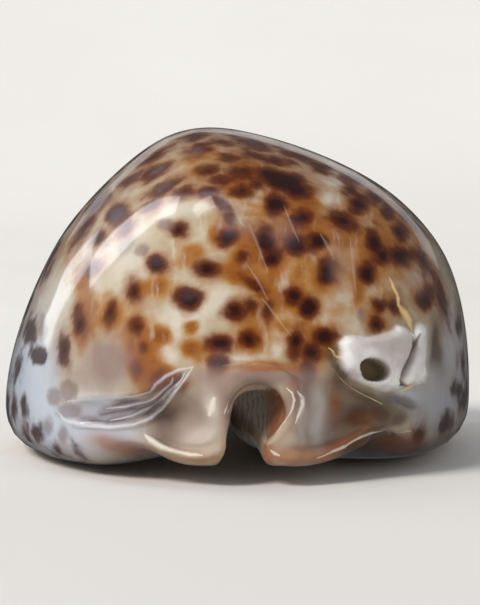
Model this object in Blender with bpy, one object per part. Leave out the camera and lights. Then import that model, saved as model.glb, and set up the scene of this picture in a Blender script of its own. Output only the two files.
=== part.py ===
"""Rat cowrie shell, resting on its base with the front (siphonal) end towards -Y and the outer lip at -X.

The shell grew as one piece, so it is one solid. It is a pillow of two sheets, an outer skin and an inner skin,
sewn together all round the aperture: along both lips and over the arch of each canal. Each sheet is a grid
whose points lie on a smooth B-spline surface through a net of control points.
"""

import math

import bmesh
import bpy
import numpy as np
from mathutils import Matrix, Vector
from mathutils.bvhtree import BVHTree

MM = 0.001

# Driving dimensions, in millimetres
LENGTH = 66.0
WIDTH = 47.5
HEIGHT = 32.4

# Plan and side outline of the body: superellipses that meet at the widest section
WIDEST_Y = 3.0
FRONT_REACH = 36.0
BACK_REACH = 30.5
FRONT_PLAN_POWER = 2.05
BACK_PLAN_POWER = 2.35
FRONT_PROFILE_POWER = 2.15
BACK_PROFILE_POWER = 2.3
MARGIN_HEIGHT = 5.0
CROWN_SHIFT = -2.4
FRONT_LIFT = 2.2
BACK_LIFT = 2.4
REST_CUT = 0.22

# Aperture: the slit between the lips, in a shallow valley of the base
SLIT_GAP = 3.7
LIP_RISE = 2.2
LIP_ROUND = 1.6
TOOTH_DEPTH = 0.45
TOOTH_RUN = 3
TOOTH_RANGE = (-25.0, 27.0)
CANAL_HALF_WIDTH = 1.95
CANAL_HEIGHT = 6.8
CANAL_LEAN = 3.0

# Walls, and the floor inside: a shelf over the outer lip and the rolled inner whorl over the other one
DOME_WALL = 1.9
MARGIN_WALL = 4.2
SHELF = 4.0
WHORL_RISE = 5.5

# Where each thing comes in from the narrow ends: from and to, as shares of the half-width
FULL_SECTION = (0.25, 0.8)
SLIT_LEAVES_MIDDLE = (0.0, 0.8)
LIP_STANDS = (0.2, 0.7)
CAVITY_OPENS = (0.5, 0.88)
WHORL_STANDS = (0.55, 0.9)

# Resolution of the grids
ROWS = 64
COLUMNS = 44

# Hollows: centre, reach along each axis, push into the shell. They fade out over the last stretch of each end.
HOLLOWS = (
    ((-6.4, -30.5, 6.1), (3.2, 6.0, 2.3), (0.2, 3.2, 0.0)),  # beside the front canal, left
    ((9.0, -30.0, 6.5), (3.8, 6.0, 2.2), (-0.3, 2.8, 0.0)),  # beside it, right
    ((-9.0, -28.5, 1.6), (3.2, 5.0, 2.0), (0.0, 0.0, 1.6)),  # under the outer lip's front
    ((13.0, -24.0, 1.0), (5.0, 6.5, 2.4), (0.0, 0.0, 2.0)),  # under the other lip's front
    ((6.0, 31.0, 11.5), (4.2, 4.0, 3.4), (0.0, -1.1, 0.0)),  # at the sunken spire
)
HOLLOW_FADE = 1.5

# The fold between the layers of enamel at the left: points on the skin, the gouge's radius at each, its depth
FOLD = ((-4.6, -30.6, 10.5), (-6.2, -30.9, 9.0), (-9.0, -30.2, 7.2), (-12.8, -27.7, 6.5), (-16.2, -23.9, 6.1))
FOLD_RADII = (0.5, 0.9, 1.6, 2.0, 1.2)
FOLD_DEPTH = 0.4

# The healed wound: a white plate of callus in a moat, its oval hole, and the fin beyond a crack. The plate's
# outline is in its own plane, right and up from its middle.
PLATE_CENTRE = (13.0, -26.3, 11.3)
PLATE_OUTLINE = (
    (-4.1, 1.2), (-3.5, 2.1), (-1.4, 2.0), (0.5, 2.3), (1.5, 2.6), (2.4, 3.2), (3.4, 2.8), (4.3, 2.0), (4.2, 0.8),
    (3.5, -0.7), (3.0, -1.8), (3.1, -2.7), (1.6, -3.0), (-0.1, -2.9), (-2.0, -2.1), (-3.3, -1.0), (-4.0, 0.1),
)
PLATE_RISE = 0.4
PLATE_SINK = 1.5
MOAT = ((9.2, -28.3, 12.6), (9.4, -29.0, 10.9), (10.4, -29.3, 9.1), (12.2, -28.3, 8.0), (14.3, -26.3, 7.7))
MOAT_RADII = (0.3, 0.6, 0.75, 0.75, 0.45)
MOAT_DEPTH = 0.5
HOLE_PLACE = (-0.1, -1.2)
HOLE_SIZE = (1.6, 1.05)
HOLE_DEPTH = 1.4
FIN = ((18.0, -19.3, 13.3), (17.7, -20.6, 11.3), (16.6, -22.8, 9.3))
FIN_RADII = (0.45, 0.75, 0.45)
FIN_SINK = 0.45
CRACK = ((4.6, 2.4), (4.5, 1.0), (3.8, -0.6), (3.3, -1.7), (3.4, -2.8))
CRACK_WIDTH = 0.45
CRACK_DEPTH = 1.3

# Rings of the control net, as angles round the plan from the front, in degrees
RING_ANGLES = (17, 24, 32, 41, 51, 62, 74, 87, 100, 113, 125, 136, 145, 152, 157.5)

# The base from a lip's inner edge out to the widest part of its side: share of the way across, share of the
# lip's rise, share of the margin's height, and height added
BASE_PROFILE = (
    (0.0, 1.0, 0.0, LIP_ROUND), (0.0, 1.0, 0.0, 0.35), (0.07, 1.0, 0.0, -0.35), (0.27, 0.3, 0.0, 0.0),
    (0.56, 0.0, 0.0, -0.1), (0.86, 0.0, 0.04, 0.0), (1.0, 0.0, 0.47, 0.0),
)

# The floor of the cavity: share of the way from the lip to the side wall, height over the shelf, and on the
# whorl's side the share of the whorl's rise
SHELF_PROFILE = ((0.10, -0.2), (0.32, 0.1), (0.62, 0.1), (0.88, 0.6), (1.0, 2.0))
WHORL_PROFILE = ((1.0, 2.0, 0.45), (0.82, 0.0, 0.9), (0.52, 0.0, 1.02), (0.20, 0.0, 0.92))

# The bell-shaped cross-section: share of the half-width, share of the rise from the margin to the crown
LEFT_FLANK = (
    (0.99, 0.06), (0.965, 0.17), (0.92, 0.29), (0.86, 0.42), (0.785, 0.55), (0.67, 0.69), (0.505, 0.83), (0.32, 0.955),
)
RIGHT_FLANK = (
    (1.0, 0.06), (0.995, 0.17), (0.98, 0.29), (0.945, 0.42), (0.88, 0.55), (0.77, 0.67), (0.585, 0.80), (0.27, 0.92),
)
# The same for the narrow end over a canal
END_FLANK = (
    (1.0, 0.06), (1.01, 0.2), (1.0, 0.36), (0.95, 0.53), (0.85, 0.7), (0.69, 0.84), (0.48, 0.95), (0.25, 1.0),
)

# The rolled rim of a canal, seen from the front: x from the slit's middle and height above the feet. Each ring
# is a foot, an arch about its centre and another foot: the crest where the two skins meet, two rings outside
# it, and two inside it.
RIM_ARCH_CENTRE = (1.1, 4.7)
RIM_ARCH_SWEEP = 16
FRONT_CREST = (3.25, 3.3, 3.3)
RIM_OUTSIDE = ((0.85, 0.15), (1.35, 0.85))
RIM_INSIDE = ((-0.65, 0.35), (-0.85, 1.3))
LEFT_FEET = (
    ((-1.9, 1.7), (-1.95, 0.95), (-2.4, 0.3), (-3.1, 0.05), (-3.7, 0.35), (-3.9, 1.3), (-3.5, 2.5)),
    ((-1.9, 1.7), (-1.95, 0.9), (-2.4, 0.2), (-3.3, -0.05), (-4.3, 0.1), (-4.9, 0.9), (-4.6, 2.3)),
)
RIGHT_FEET = (
    ((1.85, 1.7), (1.9, 0.95), (2.2, 0.3), (2.9, 0.0), (3.7, 0.2), (4.4, 1.1), (4.9, 2.4)),
    ((1.85, 1.7), (1.9, 0.9), (2.3, 0.2), (3.2, -0.05), (4.5, 0.1), (5.5, 0.9), (5.8, 2.2)),
)
BACK_SHRINK = 0.86


def ease(value, start, end):
    """From 0 at the start to 1 at the end, level at both."""
    t = min(max((value - start) / (end - start), 0.0), 1.0)
    return t * t * (3 - 2 * t)


def slit_centre(y):
    """x of the middle of the slit: right of centre in front, bowed left in the middle, curling right at the back."""
    front, middle, back = 0.95, -2.2, 4.6
    t = (y + LENGTH / 2) / LENGTH
    return front * (1 - t) ** 2 + 2 * (2 * middle - 0.5 * (front + back)) * t * (1 - t) + back * t**2


def mix(a, b, share):
    return [tuple((1 - share) * p + share * q for p, q in zip(m, n)) for m, n in zip(a, b)]


def lower_half(lip_x, side_x, base, rise, margin):
    """The base from one lip's inner edge to the widest part of its side."""
    return [
        (lip_x + across * (side_x - lip_x), base + lip * rise + side * (margin - base) + added)
        for across, lip, side, added in BASE_PROFILE
    ]


def cavity_ring(left_flank, right_flank, left, right, lip_left, lip_right, crown, base, edge, margin, top, across):
    """The cavity: the outer skin less the wall, over the shelf and the whorl."""
    middle, half = (left + right) / 2, (right - left) / 2

    def inside(points, sign):
        cavity = []
        for x, z in points:
            up = (z - margin) / max(top - margin, 1.0)
            thick = MARGIN_WALL + (DOME_WALL - MARGIN_WALL) * ease(up, 0, 0.45)
            lean = ease(abs(x - middle), 0, 0.75 * half)
            cavity.append((x - sign * thick * lean, z - thick * ease(up, 0, 0.7)))
        return cavity

    shelf = base + SHELF
    whorl = WHORL_RISE * ease(across, *WHORL_STANDS)
    span_left = left + MARGIN_WALL - lip_left
    span_right = right - MARGIN_WALL - lip_right
    cavity = [(lip_left, edge), (lip_left - 0.1, edge + 1.1)]
    cavity += [(lip_left + share * span_left, shelf + up) for share, up in SHELF_PROFILE]
    cavity += inside(left_flank, -1) + [(crown, top - DOME_WALL)] + inside(right_flank, 1)[::-1]
    cavity += [(lip_right + share * span_right, shelf + up + roll * whorl) for share, up, roll in WHORL_PROFILE]
    cavity += [(lip_right + 0.3, shelf + 0.5 * whorl), (lip_right, edge + 2.0), (lip_right, edge)]
    return cavity


def canal_ring(slit, y, base, edge, count):
    """The canal's tube, which leans towards the right at the front."""
    ring = []
    lean = CANAL_LEAN * ease(-y, 20, 32)
    for k in range(count):
        turn = math.pi * k / (count - 1)
        out = math.copysign(abs(math.cos(turn)) ** 0.6, -math.cos(turn))
        up = math.sin(turn) ** 0.6
        x = slit + CANAL_HALF_WIDTH * out + lean * up * (0.65 + 0.35 * out)
        ring.append((x, edge + (base + CANAL_HEIGHT - edge) * up))
    return ring


def body_ring(angle):
    """Control points of one ring: the outer skin and the inner skin, both from left lip to right lip."""
    cosine = math.cos(angle)
    front = cosine > 0
    plan_power = FRONT_PLAN_POWER if front else BACK_PLAN_POWER
    profile_power = FRONT_PROFILE_POWER if front else BACK_PROFILE_POWER
    along = abs(cosine) ** (2 / plan_power)
    across = math.sin(angle) ** (2 / plan_power)
    y = WIDEST_Y - math.copysign((FRONT_REACH if front else BACK_REACH) * along, cosine)
    slit = slit_centre(y)
    middle = slit * (1 - ease(across, *SLIT_LEAVES_MIDDLE))
    half = WIDTH / 2 * across
    left, right = middle - half, middle + half
    lip_left, lip_right = slit - SLIT_GAP / 2, slit + SLIT_GAP / 2
    base = (FRONT_LIFT if front else BACK_LIFT) * along**2.6
    top = HEIGHT * (1 - along**profile_power) ** (1 / profile_power)
    margin = base + min(MARGIN_HEIGHT, 0.45 * (top - base))
    rise = LIP_RISE * ease(across, *LIP_STANDS)
    fullness = ease(across, *FULL_SECTION)
    crown = CROWN_SHIFT * fullness + middle

    def flank(shape, sign):
        return [
            (middle + sign * half * f, margin + (top - margin) * g) for f, g in mix(END_FLANK, shape, fullness)
        ]

    left_flank, right_flank = flank(LEFT_FLANK, -1), flank(RIGHT_FLANK, 1)
    outer = lower_half(lip_left, left, base, rise, margin) + left_flank + [(crown, top)]
    outer += right_flank[::-1] + lower_half(lip_right, right, base, rise, margin)[::-1]
    edge = base + rise + LIP_ROUND
    cavity = cavity_ring(
        left_flank, right_flank, left, right, lip_left, lip_right, crown, base, edge, margin, top, across
    )
    canal = canal_ring(slit, y, base, edge, len(cavity))
    inner = mix(canal, cavity, ease(across, *CAVITY_OPENS))
    inner[0], inner[-1] = outer[0], outer[-1]
    return [np.array([(x, y, z) for x, z in skin]) for skin in (outer, inner)]


def rim_ring(grow, back, feet, y, lift, arch_points):
    """One ring of a canal's rim. Without feet it runs straight from each lip's edge to the arch."""
    front = y < 0
    centre_x = RIM_ARCH_CENTRE[0] if front else 0.0
    size = 1.0 if front else BACK_SHRINK
    left, right, height = (size * radius + grow for radius in FRONT_CREST)
    arch = []
    for k in range(arch_points):
        turn = math.radians(-RIM_ARCH_SWEEP + (180 + 2 * RIM_ARCH_SWEEP) * k / (arch_points - 1))
        out = -math.cos(turn)
        arch.append((centre_x + (right if out > 0 else left) * out, RIM_ARCH_CENTRE[1] * size + height * math.sin(turn)))
    if feet:
        left_foot, right_foot = feet
    else:
        edge = (SLIT_GAP / 2, LIP_ROUND + 0.2)
        left_foot = list(zip(np.linspace(-edge[0], arch[0][0], 8)[:-1], np.linspace(edge[1], arch[0][1], 8)[:-1]))
        right_foot = list(zip(np.linspace(edge[0], arch[-1][0], 8)[:-1], np.linspace(edge[1], arch[-1][1], 8)[:-1]))
    flat = list(left_foot) + arch + list(right_foot)[::-1]
    place = y - math.copysign(back, y)
    return [(x + slit_centre(place), place, z + lift) for x, z in flat]


def rim_rings(y, lift, count):
    """The rolled rim of a canal: the crest and the rings outside it, and the rings inside it."""
    arch_points = count - 2 * len(LEFT_FEET[0])
    right_feet = RIGHT_FEET if y < 0 else [[(-x, z) for x, z in foot] for foot in LEFT_FEET]
    outside = [rim_ring(0, 0, None, y, lift, arch_points)]
    for (grow, back), left, right in zip(RIM_OUTSIDE, LEFT_FEET, right_feet):
        outside.append(rim_ring(grow, back, (left, right), y, lift, arch_points))
    inside = [rim_ring(grow, back, None, y, lift, arch_points) for grow, back in RIM_INSIDE]
    return outside, inside


def control_net():
    """Both skins' nets: rows from the front canal to the back one, columns from the left lip to the right lip."""
    body = [body_ring(math.radians(a)) for a in RING_ANGLES]
    count = len(body[0][0])
    front_outer, front_inner = rim_rings(-LENGTH / 2, FRONT_LIFT, count)
    back_outer, back_inner = rim_rings(LENGTH / 2, BACK_LIFT, count)
    outer = front_outer + [skins[0] for skins in body] + back_outer[::-1]
    inner = front_outer[:1] + front_inner + [skins[1] for skins in body] + back_inner[::-1] + back_outer[:1]
    return np.array(outer), np.array(inner)


def spline_weights(at, count):
    """Uniform cubic B-spline weights at the given parameters, for a net with one more row beyond each edge."""
    cell = np.minimum(at.astype(int), count - 2)
    t = at - cell
    weights = np.zeros((len(at), count + 2))
    rows = np.arange(len(at))
    weights[rows, cell] = (1 - t) ** 3 / 6
    weights[rows, cell + 1] = (3 * t**3 - 6 * t**2 + 4) / 6
    weights[rows, cell + 2] = (-3 * t**3 + 3 * t**2 + 3 * t + 1) / 6
    weights[rows, cell + 3] = t**3 / 6
    return weights


def skin(net, other, at_rows, at_columns):
    """Points of one skin. The other skin's first rows stand beyond this one's edges, so they meet smoothly."""
    rows, columns = net.shape[:2]
    wide = np.zeros((rows + 2, columns + 2, 3))
    wide[1:-1, 1:-1] = net
    wide[0, 1:-1], wide[-1, 1:-1] = other[1], other[-2]
    wide[1:-1, 0], wide[1:-1, -1] = other[:, 1], other[:, -2]
    for i, near in ((0, 1), (-1, -2)):
        for j, beside in ((0, 1), (-1, -2)):
            wide[i, j] = net[near, beside]
    return np.einsum("ai,ijk,bj->abk", spline_weights(at_rows, rows), wide, spline_weights(at_columns, columns))


def spread(steps, count):
    """Parameters that split a run of control points into equal lengths, given the length of each step."""
    reach = np.concatenate([[0], np.cumsum(steps)])
    return np.interp(np.linspace(0, reach[-1], count + 1), reach, range(len(reach)))


def toothed(points, rows):
    """Cut a groove between every two teeth, on the points near either lip of the outer skin."""
    first, last = TOOTH_RANGE
    for i in range(1, rows, 2):
        if not first < points[i, 0, 1] < last:
            continue
        for side in (1, -1):
            points[i, 0 if side > 0 else -1, 0] -= side * TOOTH_DEPTH
            for k in range(1, TOOTH_RUN):
                points[i, k if side > 0 else -1 - k, 2] += TOOTH_DEPTH * (1 - k / TOOTH_RUN)
    return points


def grids():
    """Both skins as grids of points, at the driving dimensions."""
    outer_net, inner_net = control_net()
    lip_steps = np.abs(np.diff(outer_net[:, 0, 1])) + 0.35
    ring_steps = np.linalg.norm(np.diff(outer_net[len(outer_net) // 2], axis=0), axis=1) + 0.6
    at_rows, at_columns = spread(lip_steps, ROWS), spread(ring_steps, COLUMNS)
    outer = skin(outer_net, inner_net, at_rows, at_columns)
    inner = skin(inner_net, outer_net, at_rows, at_columns)
    low, high = outer.min(axis=(0, 1)), outer.max(axis=(0, 1))
    grow = np.array([WIDTH, LENGTH, HEIGHT + REST_CUT]) / (high - low)
    shift = np.array([-(low[0] + high[0]) / 2, -(low[1] + high[1]) / 2, -low[2] - REST_CUT / grow[2]])
    outer, inner = (outer + shift) * grow, (inner + shift) * grow
    for centre, reach, push in HOLLOWS:
        near = np.exp(-(((outer - centre) / reach) ** 2).sum(axis=2))
        near *= np.clip((LENGTH / 2 - np.abs(outer[:, :, 1])) / HOLLOW_FADE, 0, 1)
        outer += near[:, :, None] * np.array(push)
    outer = toothed(outer, ROWS)
    inner[:, 0], inner[:, -1], inner[0], inner[-1] = outer[:, 0], outer[:, -1], outer[0], outer[-1]
    return outer, inner


def fan(loop, verts, i, j, step, rows, columns, inward):
    """A corner cell as triangles about one of its vertices: the outer skin's about the corner itself, the inner
    skin's about the vertex across the cell, so that no diagonal is in both skins."""
    end_row, end_column = (0 if i == 0 else rows), (0 if j == 0 else columns)
    far_row, far_column = (1 if i == 0 else rows - 1), (step if j == 0 else columns - step)
    hub = verts[(far_row, far_column) if inward else (end_row, end_column)]
    at = loop.index(hub)
    ordered = loop[at:] + loop[:at]
    return [[hub, a, b] for a, b in zip(ordered[1:], ordered[2:])]


def sheet(bm, points, rim, inward):
    """Faces of one skin. rim holds the vertices shared with the other skin, by row and column."""
    rows, columns = points.shape[0] - 1, points.shape[1] - 1
    step = 2 if inward else 1
    verts = {}
    for i in range(rows + 1):
        for j in range(0, columns + 1, 1 if i in (0, rows) else step):
            edge = i in (0, rows) or j in (0, columns)
            if edge and (i, j) in rim:
                verts[i, j] = rim[i, j]
                continue
            verts[i, j] = bm.verts.new(points[i, j] * MM)
            if edge:
                rim[i, j] = verts[i, j]
    for i in range(rows):
        for j in range(0, columns, step):
            along = [verts[i, k] for k in range(j, j + step + 1) if (i, k) in verts]
            back = [verts[i + 1, k] for k in range(j + step, j - 1, -1) if (i + 1, k) in verts]
            loop = along + back
            corner = i in (0, rows - 1) and j in (0, columns - step)
            cells = fan(loop, verts, i, j, step, rows, columns, inward) if corner else [loop]
            for cell in cells:
                bm.faces.new(cell[::-1] if inward else cell)


def shell():
    """The plain shell, closed and cut flat where it rests."""
    bm = bmesh.new()
    outer, inner = grids()
    rim = {}
    sheet(bm, outer, rim, inward=False)
    sheet(bm, inner, rim, inward=True)
    cut = bmesh.ops.bisect_plane(
        bm, geom=bm.verts[:] + bm.edges[:] + bm.faces[:], plane_co=(0, 0, 0), plane_no=(0, 0, -1), clear_outer=True
    )
    loose = [e for e in cut["geom_cut"] if isinstance(e, bmesh.types.BMEdge)]
    bmesh.ops.edgeloop_fill(bm, edges=loose)
    bmesh.ops.recalc_face_normals(bm, faces=bm.faces)
    mesh = bpy.data.meshes.new("shell")
    bm.to_mesh(mesh)
    skin_tree = BVHTree.FromBMesh(bm)
    bm.free()
    mesh.shade_smooth()
    return bpy.data.objects.new("shell", mesh), skin_tree


def on_skin(tree, point):
    """The point of the skin nearest to a point in millimetres, and the way out there."""
    place, normal, _, _ = tree.find_nearest(Vector(point) * MM)
    return place, normal


def tool(name, curve, tools):
    """A closed mesh from a curve, kept out of sight among the tools."""
    source = bpy.data.objects.new(name, curve)
    mesh = bpy.data.meshes.new_from_object(source)
    bpy.data.objects.remove(source)
    bm = bmesh.new()
    bm.from_mesh(mesh)
    bmesh.ops.remove_doubles(bm, verts=bm.verts, dist=1e-6)
    bmesh.ops.recalc_face_normals(bm, faces=bm.faces)
    bm.to_mesh(mesh)
    bm.free()
    obj = bpy.data.objects.new(name, mesh)
    obj.hide_render = True
    obj.display_type = "WIRE"
    tools.objects.link(obj)
    return obj


def rod(name, tree, points, radii, depth, tools):
    """A smooth tapering rod along the skin, sunk into it by the depth given."""
    curve = bpy.data.curves.new(name, "CURVE")
    curve.dimensions = "3D"
    curve.bevel_depth = 1.0
    curve.bevel_resolution = 1
    curve.resolution_u = 3
    curve.use_fill_caps = True
    line = curve.splines.new("BEZIER")
    line.bezier_points.add(len(points) - 1)
    for knot, point, radius in zip(line.bezier_points, points, radii):
        place, out = on_skin(tree, point)
        knot.co = place + out * (radius - depth) * MM
        knot.radius = radius * MM
        knot.handle_left_type = knot.handle_right_type = "AUTO"
    return tool(name, curve, tools)


def slab(name, outline, frame, low, high, tools, round_by=0.0):
    """A flat outline, in millimetres, extruded in the plane of a frame from one height to another."""
    curve = bpy.data.curves.new(name, "CURVE")
    curve.dimensions = "2D"
    curve.fill_mode = "BOTH"
    curve.extrude = (high - low) / 2 - round_by
    curve.bevel_depth = round_by
    curve.bevel_resolution = 1
    line = curve.splines.new("POLY")
    line.points.add(len(outline) - 1)
    for knot, (x, y) in zip(line.points, outline):
        knot.co = (x, y, 0, 1)
    line.use_cyclic_u = True
    obj = tool(name, curve, tools)
    obj.data.transform(frame @ Matrix.Translation((0, 0, (low + high) / 2 * MM)) @ Matrix.Scale(MM, 4))
    return obj


def combine(obj, tool_obj, operation):
    step = obj.modifiers.new(tool_obj.name, "BOOLEAN")
    step.operation = operation
    step.object = tool_obj
    step.solver = "EXACT"


def wound(obj, tree, tools):
    """The white plate of callus in its moat, the hole through it, the crack and the fin."""
    place, out = on_skin(tree, PLATE_CENTRE)
    right = Vector((0, 0, 1)).cross(out).normalized()
    frame = Matrix.Translation(place) @ Matrix((right, out.cross(right), out)).transposed().to_4x4()
    combine(obj, rod("moat", tree, MOAT, MOAT_RADII, MOAT_DEPTH, tools), "DIFFERENCE")
    combine(obj, slab("plate", PLATE_OUTLINE, frame, -PLATE_SINK, PLATE_RISE, tools, 0.2), "UNION")
    combine(obj, rod("fin", tree, FIN, FIN_RADII, FIN_SINK, tools), "UNION")
    crack = list(CRACK) + [(x + CRACK_WIDTH, y) for x, y in CRACK[::-1]]
    combine(obj, slab("crack", crack, frame, -CRACK_DEPTH, PLATE_RISE + 1, tools), "DIFFERENCE")
    turns = [2 * math.pi * k / 14 for k in range(14)]
    oval = [(HOLE_PLACE[0] + HOLE_SIZE[0] * math.cos(t), HOLE_PLACE[1] + HOLE_SIZE[1] * math.sin(t)) for t in turns]
    combine(obj, slab("hole", oval, frame, -HOLE_DEPTH, PLATE_RISE + 1, tools), "DIFFERENCE")


def enamel():
    material = bpy.data.materials.new("enamel")
    material.use_nodes = True
    finish = material.node_tree.nodes["Principled BSDF"]
    finish.inputs["Base Color"].default_value = (0.46, 0.27, 0.14, 1)
    finish.inputs["Roughness"].default_value = 0.12
    finish.inputs["Metallic"].default_value = 0.0
    return material


def main():
    for obj in list(bpy.data.objects):
        bpy.data.objects.remove(obj)
    part = bpy.data.collections.new("rat_cowrie")
    tools = bpy.data.collections.new("cutters")
    for collection in (part, tools):
        bpy.context.scene.collection.children.link(collection)
    tools.hide_render = True
    obj, tree = shell()
    obj.data.materials.append(enamel())
    part.objects.link(obj)
    combine(obj, rod("fold", tree, FOLD, FOLD_RADII, FOLD_DEPTH, tools), "DIFFERENCE")
    wound(obj, tree, tools)


if __name__ == "__main__":
    main()
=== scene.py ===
import math

import bpy
import numpy as np
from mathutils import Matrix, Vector, noise


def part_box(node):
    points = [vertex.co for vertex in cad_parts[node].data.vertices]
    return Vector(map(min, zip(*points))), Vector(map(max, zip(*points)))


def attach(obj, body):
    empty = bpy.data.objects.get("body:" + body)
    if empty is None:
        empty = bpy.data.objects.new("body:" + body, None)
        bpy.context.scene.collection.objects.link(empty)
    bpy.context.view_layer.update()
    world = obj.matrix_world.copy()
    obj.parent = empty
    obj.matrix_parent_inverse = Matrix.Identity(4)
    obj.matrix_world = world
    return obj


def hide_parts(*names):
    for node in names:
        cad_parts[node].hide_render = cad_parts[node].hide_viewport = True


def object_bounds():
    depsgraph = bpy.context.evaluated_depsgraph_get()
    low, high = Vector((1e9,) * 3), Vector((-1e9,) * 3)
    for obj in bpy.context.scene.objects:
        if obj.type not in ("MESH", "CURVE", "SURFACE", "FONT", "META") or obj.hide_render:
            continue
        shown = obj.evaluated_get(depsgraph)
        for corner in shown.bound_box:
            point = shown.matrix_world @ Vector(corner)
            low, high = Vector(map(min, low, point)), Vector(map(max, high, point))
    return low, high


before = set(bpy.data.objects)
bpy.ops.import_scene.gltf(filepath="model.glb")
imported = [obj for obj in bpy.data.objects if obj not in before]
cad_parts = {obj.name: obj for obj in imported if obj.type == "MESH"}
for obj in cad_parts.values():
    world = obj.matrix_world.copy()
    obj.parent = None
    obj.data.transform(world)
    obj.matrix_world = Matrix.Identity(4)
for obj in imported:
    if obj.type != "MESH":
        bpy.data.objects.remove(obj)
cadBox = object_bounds()

mm = 0.001  # everything below is in millimetres, and is made in metres

# The camera comes first, because marks and folds are placed through it
photo = dict(wide=480, high=605)
cameraPlace = dict(target=(0.25, 0.0, 14.6), distance=300.0, elevation=4.0, lens=175.0, sensor=36.0)
tilt = math.radians(cameraPlace["elevation"])
toRight = np.array([1.0, 0.0, 0.0])
toTop = np.array([0.0, math.sin(tilt), math.cos(tilt)])
toBack = np.array([0.0, -math.cos(tilt), math.sin(tilt)])
eye = np.array(cameraPlace["target"]) + toBack * cameraPlace["distance"]


def placeInPhoto(points):
    # millimetres to pixels of the photograph's frame
    away = points - eye
    zoom = cameraPlace["lens"] / cameraPlace["sensor"] * photo["high"] / -(away @ toBack)
    return np.stack([photo["wide"] / 2 + zoom * (away @ toRight), photo["high"] / 2 - zoom * (away @ toTop)], 1)


# Shape of the shell, worked out as the solid is: a net of control points for each of its two skins
body = dict(
    length=66.0, width=47.5, height=32.4, restCut=0.22,
    widestY=3.0, frontReach=36.0, backReach=30.5,
    frontPlan=2.05, backPlan=2.35, frontProfile=2.15, backProfile=2.3,
    marginHeight=5.0, crownShift=-2.4, frontLift=2.2, backLift=2.4,
    slitGap=3.7, slitCurve=(0.95, -2.2, 4.6), lipRise=2.2, lipRound=1.6,
    canalHalf=1.95, canalHeight=6.8, canalLean=3.0,
    domeWall=1.9, marginWall=4.2, shelf=4.0, whorlRise=5.5,
    fullSection=(0.25, 0.8), slitLeavesMiddle=(0.0, 0.8), lipStands=(0.2, 0.7),
    cavityOpens=(0.5, 0.88), whorlStands=(0.55, 0.9), endFade=2.6, marginShare=0.45,
    wallThins=(0, 0.45), roofThickens=(0, 0.7), wallLeans=0.75, leftEdge=(-0.1, 1.1), rightEdge=(0.3, 0.5, 2.0),
    canalLeansFrom=(20, 32), canalLeanShare=(0.65, 0.35), canalSquareness=0.6,
    ringAngles=(17, 24, 32, 41, 51, 62, 74, 87, 100, 113, 125, 136, 145, 152, 157.5),
)
section = dict(
    # share of the way across, share of the lip's rise, share of the margin's height, height added
    base=(
        (0.0, 1.0, 0.0, 1.6), (0.0, 1.0, 0.0, 0.35), (0.07, 1.0, 0.0, -0.35), (0.27, 0.3, 0.0, 0.0),
        (0.56, 0.0, 0.0, -0.1), (0.86, 0.0, 0.04, 0.0), (1.0, 0.0, 0.47, 0.0),
    ),
    shelf=((0.10, -0.2), (0.32, 0.1), (0.62, 0.1), (0.88, 0.6), (1.0, 2.0)),
    whorl=((1.0, 2.0, 0.45), (0.82, 0.0, 0.9), (0.52, 0.0, 1.02), (0.20, 0.0, 0.92)),
    # share of the half-width, share of the rise from the margin to the crown
    left=(
        (0.99, 0.06), (0.965, 0.17), (0.92, 0.29), (0.86, 0.42), (0.785, 0.55), (0.67, 0.69), (0.505, 0.83),
        (0.32, 0.955),
    ),
    right=(
        (1.0, 0.06), (0.995, 0.17), (0.98, 0.29), (0.945, 0.42), (0.88, 0.55), (0.77, 0.67), (0.585, 0.80),
        (0.27, 0.92),
    ),
    end=(
        (1.0, 0.06), (1.01, 0.2), (1.0, 0.36), (0.95, 0.53), (0.85, 0.7), (0.69, 0.84), (0.48, 0.95), (0.25, 1.0),
    ),
)
rim = dict(
    archCentre=(1.1, 4.7), archSweep=16, crest=(3.25, 3.3, 3.3), backShrink=0.86, edgeLift=0.2,
    outside=((0.85, 0.15), (1.35, 0.85)),
    inside=((-0.65, 0.35), (-0.85, 1.3)),
    leftFeet=(
        ((-1.9, 1.7), (-1.95, 0.95), (-2.4, 0.3), (-3.1, 0.05), (-3.7, 0.35), (-3.9, 1.3), (-3.5, 2.5)),
        ((-1.9, 1.7), (-1.95, 0.9), (-2.4, 0.2), (-3.3, -0.05), (-4.3, 0.1), (-4.9, 0.9), (-4.6, 2.3)),
    ),
    rightFeet=(
        ((1.85, 1.7), (1.9, 0.95), (2.2, 0.3), (2.9, 0.0), (3.7, 0.2), (4.4, 1.1), (4.9, 2.4)),
        ((1.85, 1.7), (1.9, 0.9), (2.3, 0.2), (3.2, -0.05), (4.5, 0.1), (5.5, 0.9), (5.8, 2.2)),
    ),
)
# Hollows: centre, reach along each axis, push
hollows = dict(
    besideCanalLeft=((-6.4, -30.5, 6.1), (3.2, 6.0, 2.3), (0.2, 3.2, 0.0)),
    besideCanalRight=((9.0, -30.0, 6.5), (3.8, 6.0, 2.2), (-0.3, 2.8, 0.0)),
    underLeftFront=((-9.0, -28.5, 1.6), (3.2, 5.0, 2.0), (0.0, 0.0, 1.6)),
    underRightFront=((13.0, -24.0, 1.0), (5.0, 6.5, 2.4), (0.0, 0.0, 2.0)),
    spire=((6.0, 31.0, 11.5), (4.2, 4.0, 3.4), (0.0, -1.1, 0.0)),
)
hollowFade = 1.5


def ease(value, start, end):
    t = np.clip((np.asarray(value, float) - start) / (end - start), 0.0, 1.0)
    return t * t * (3 - 2 * t)


def slitMiddle(y):
    # x of the slit's middle: right of centre in front, bowed left halfway, curling right at the back
    front, middle, back = body["slitCurve"]
    t = (y + body["length"] / 2) / body["length"]
    return front * (1 - t) ** 2 + 2 * (2 * middle - 0.5 * (front + back)) * t * (1 - t) + back * t**2


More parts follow.
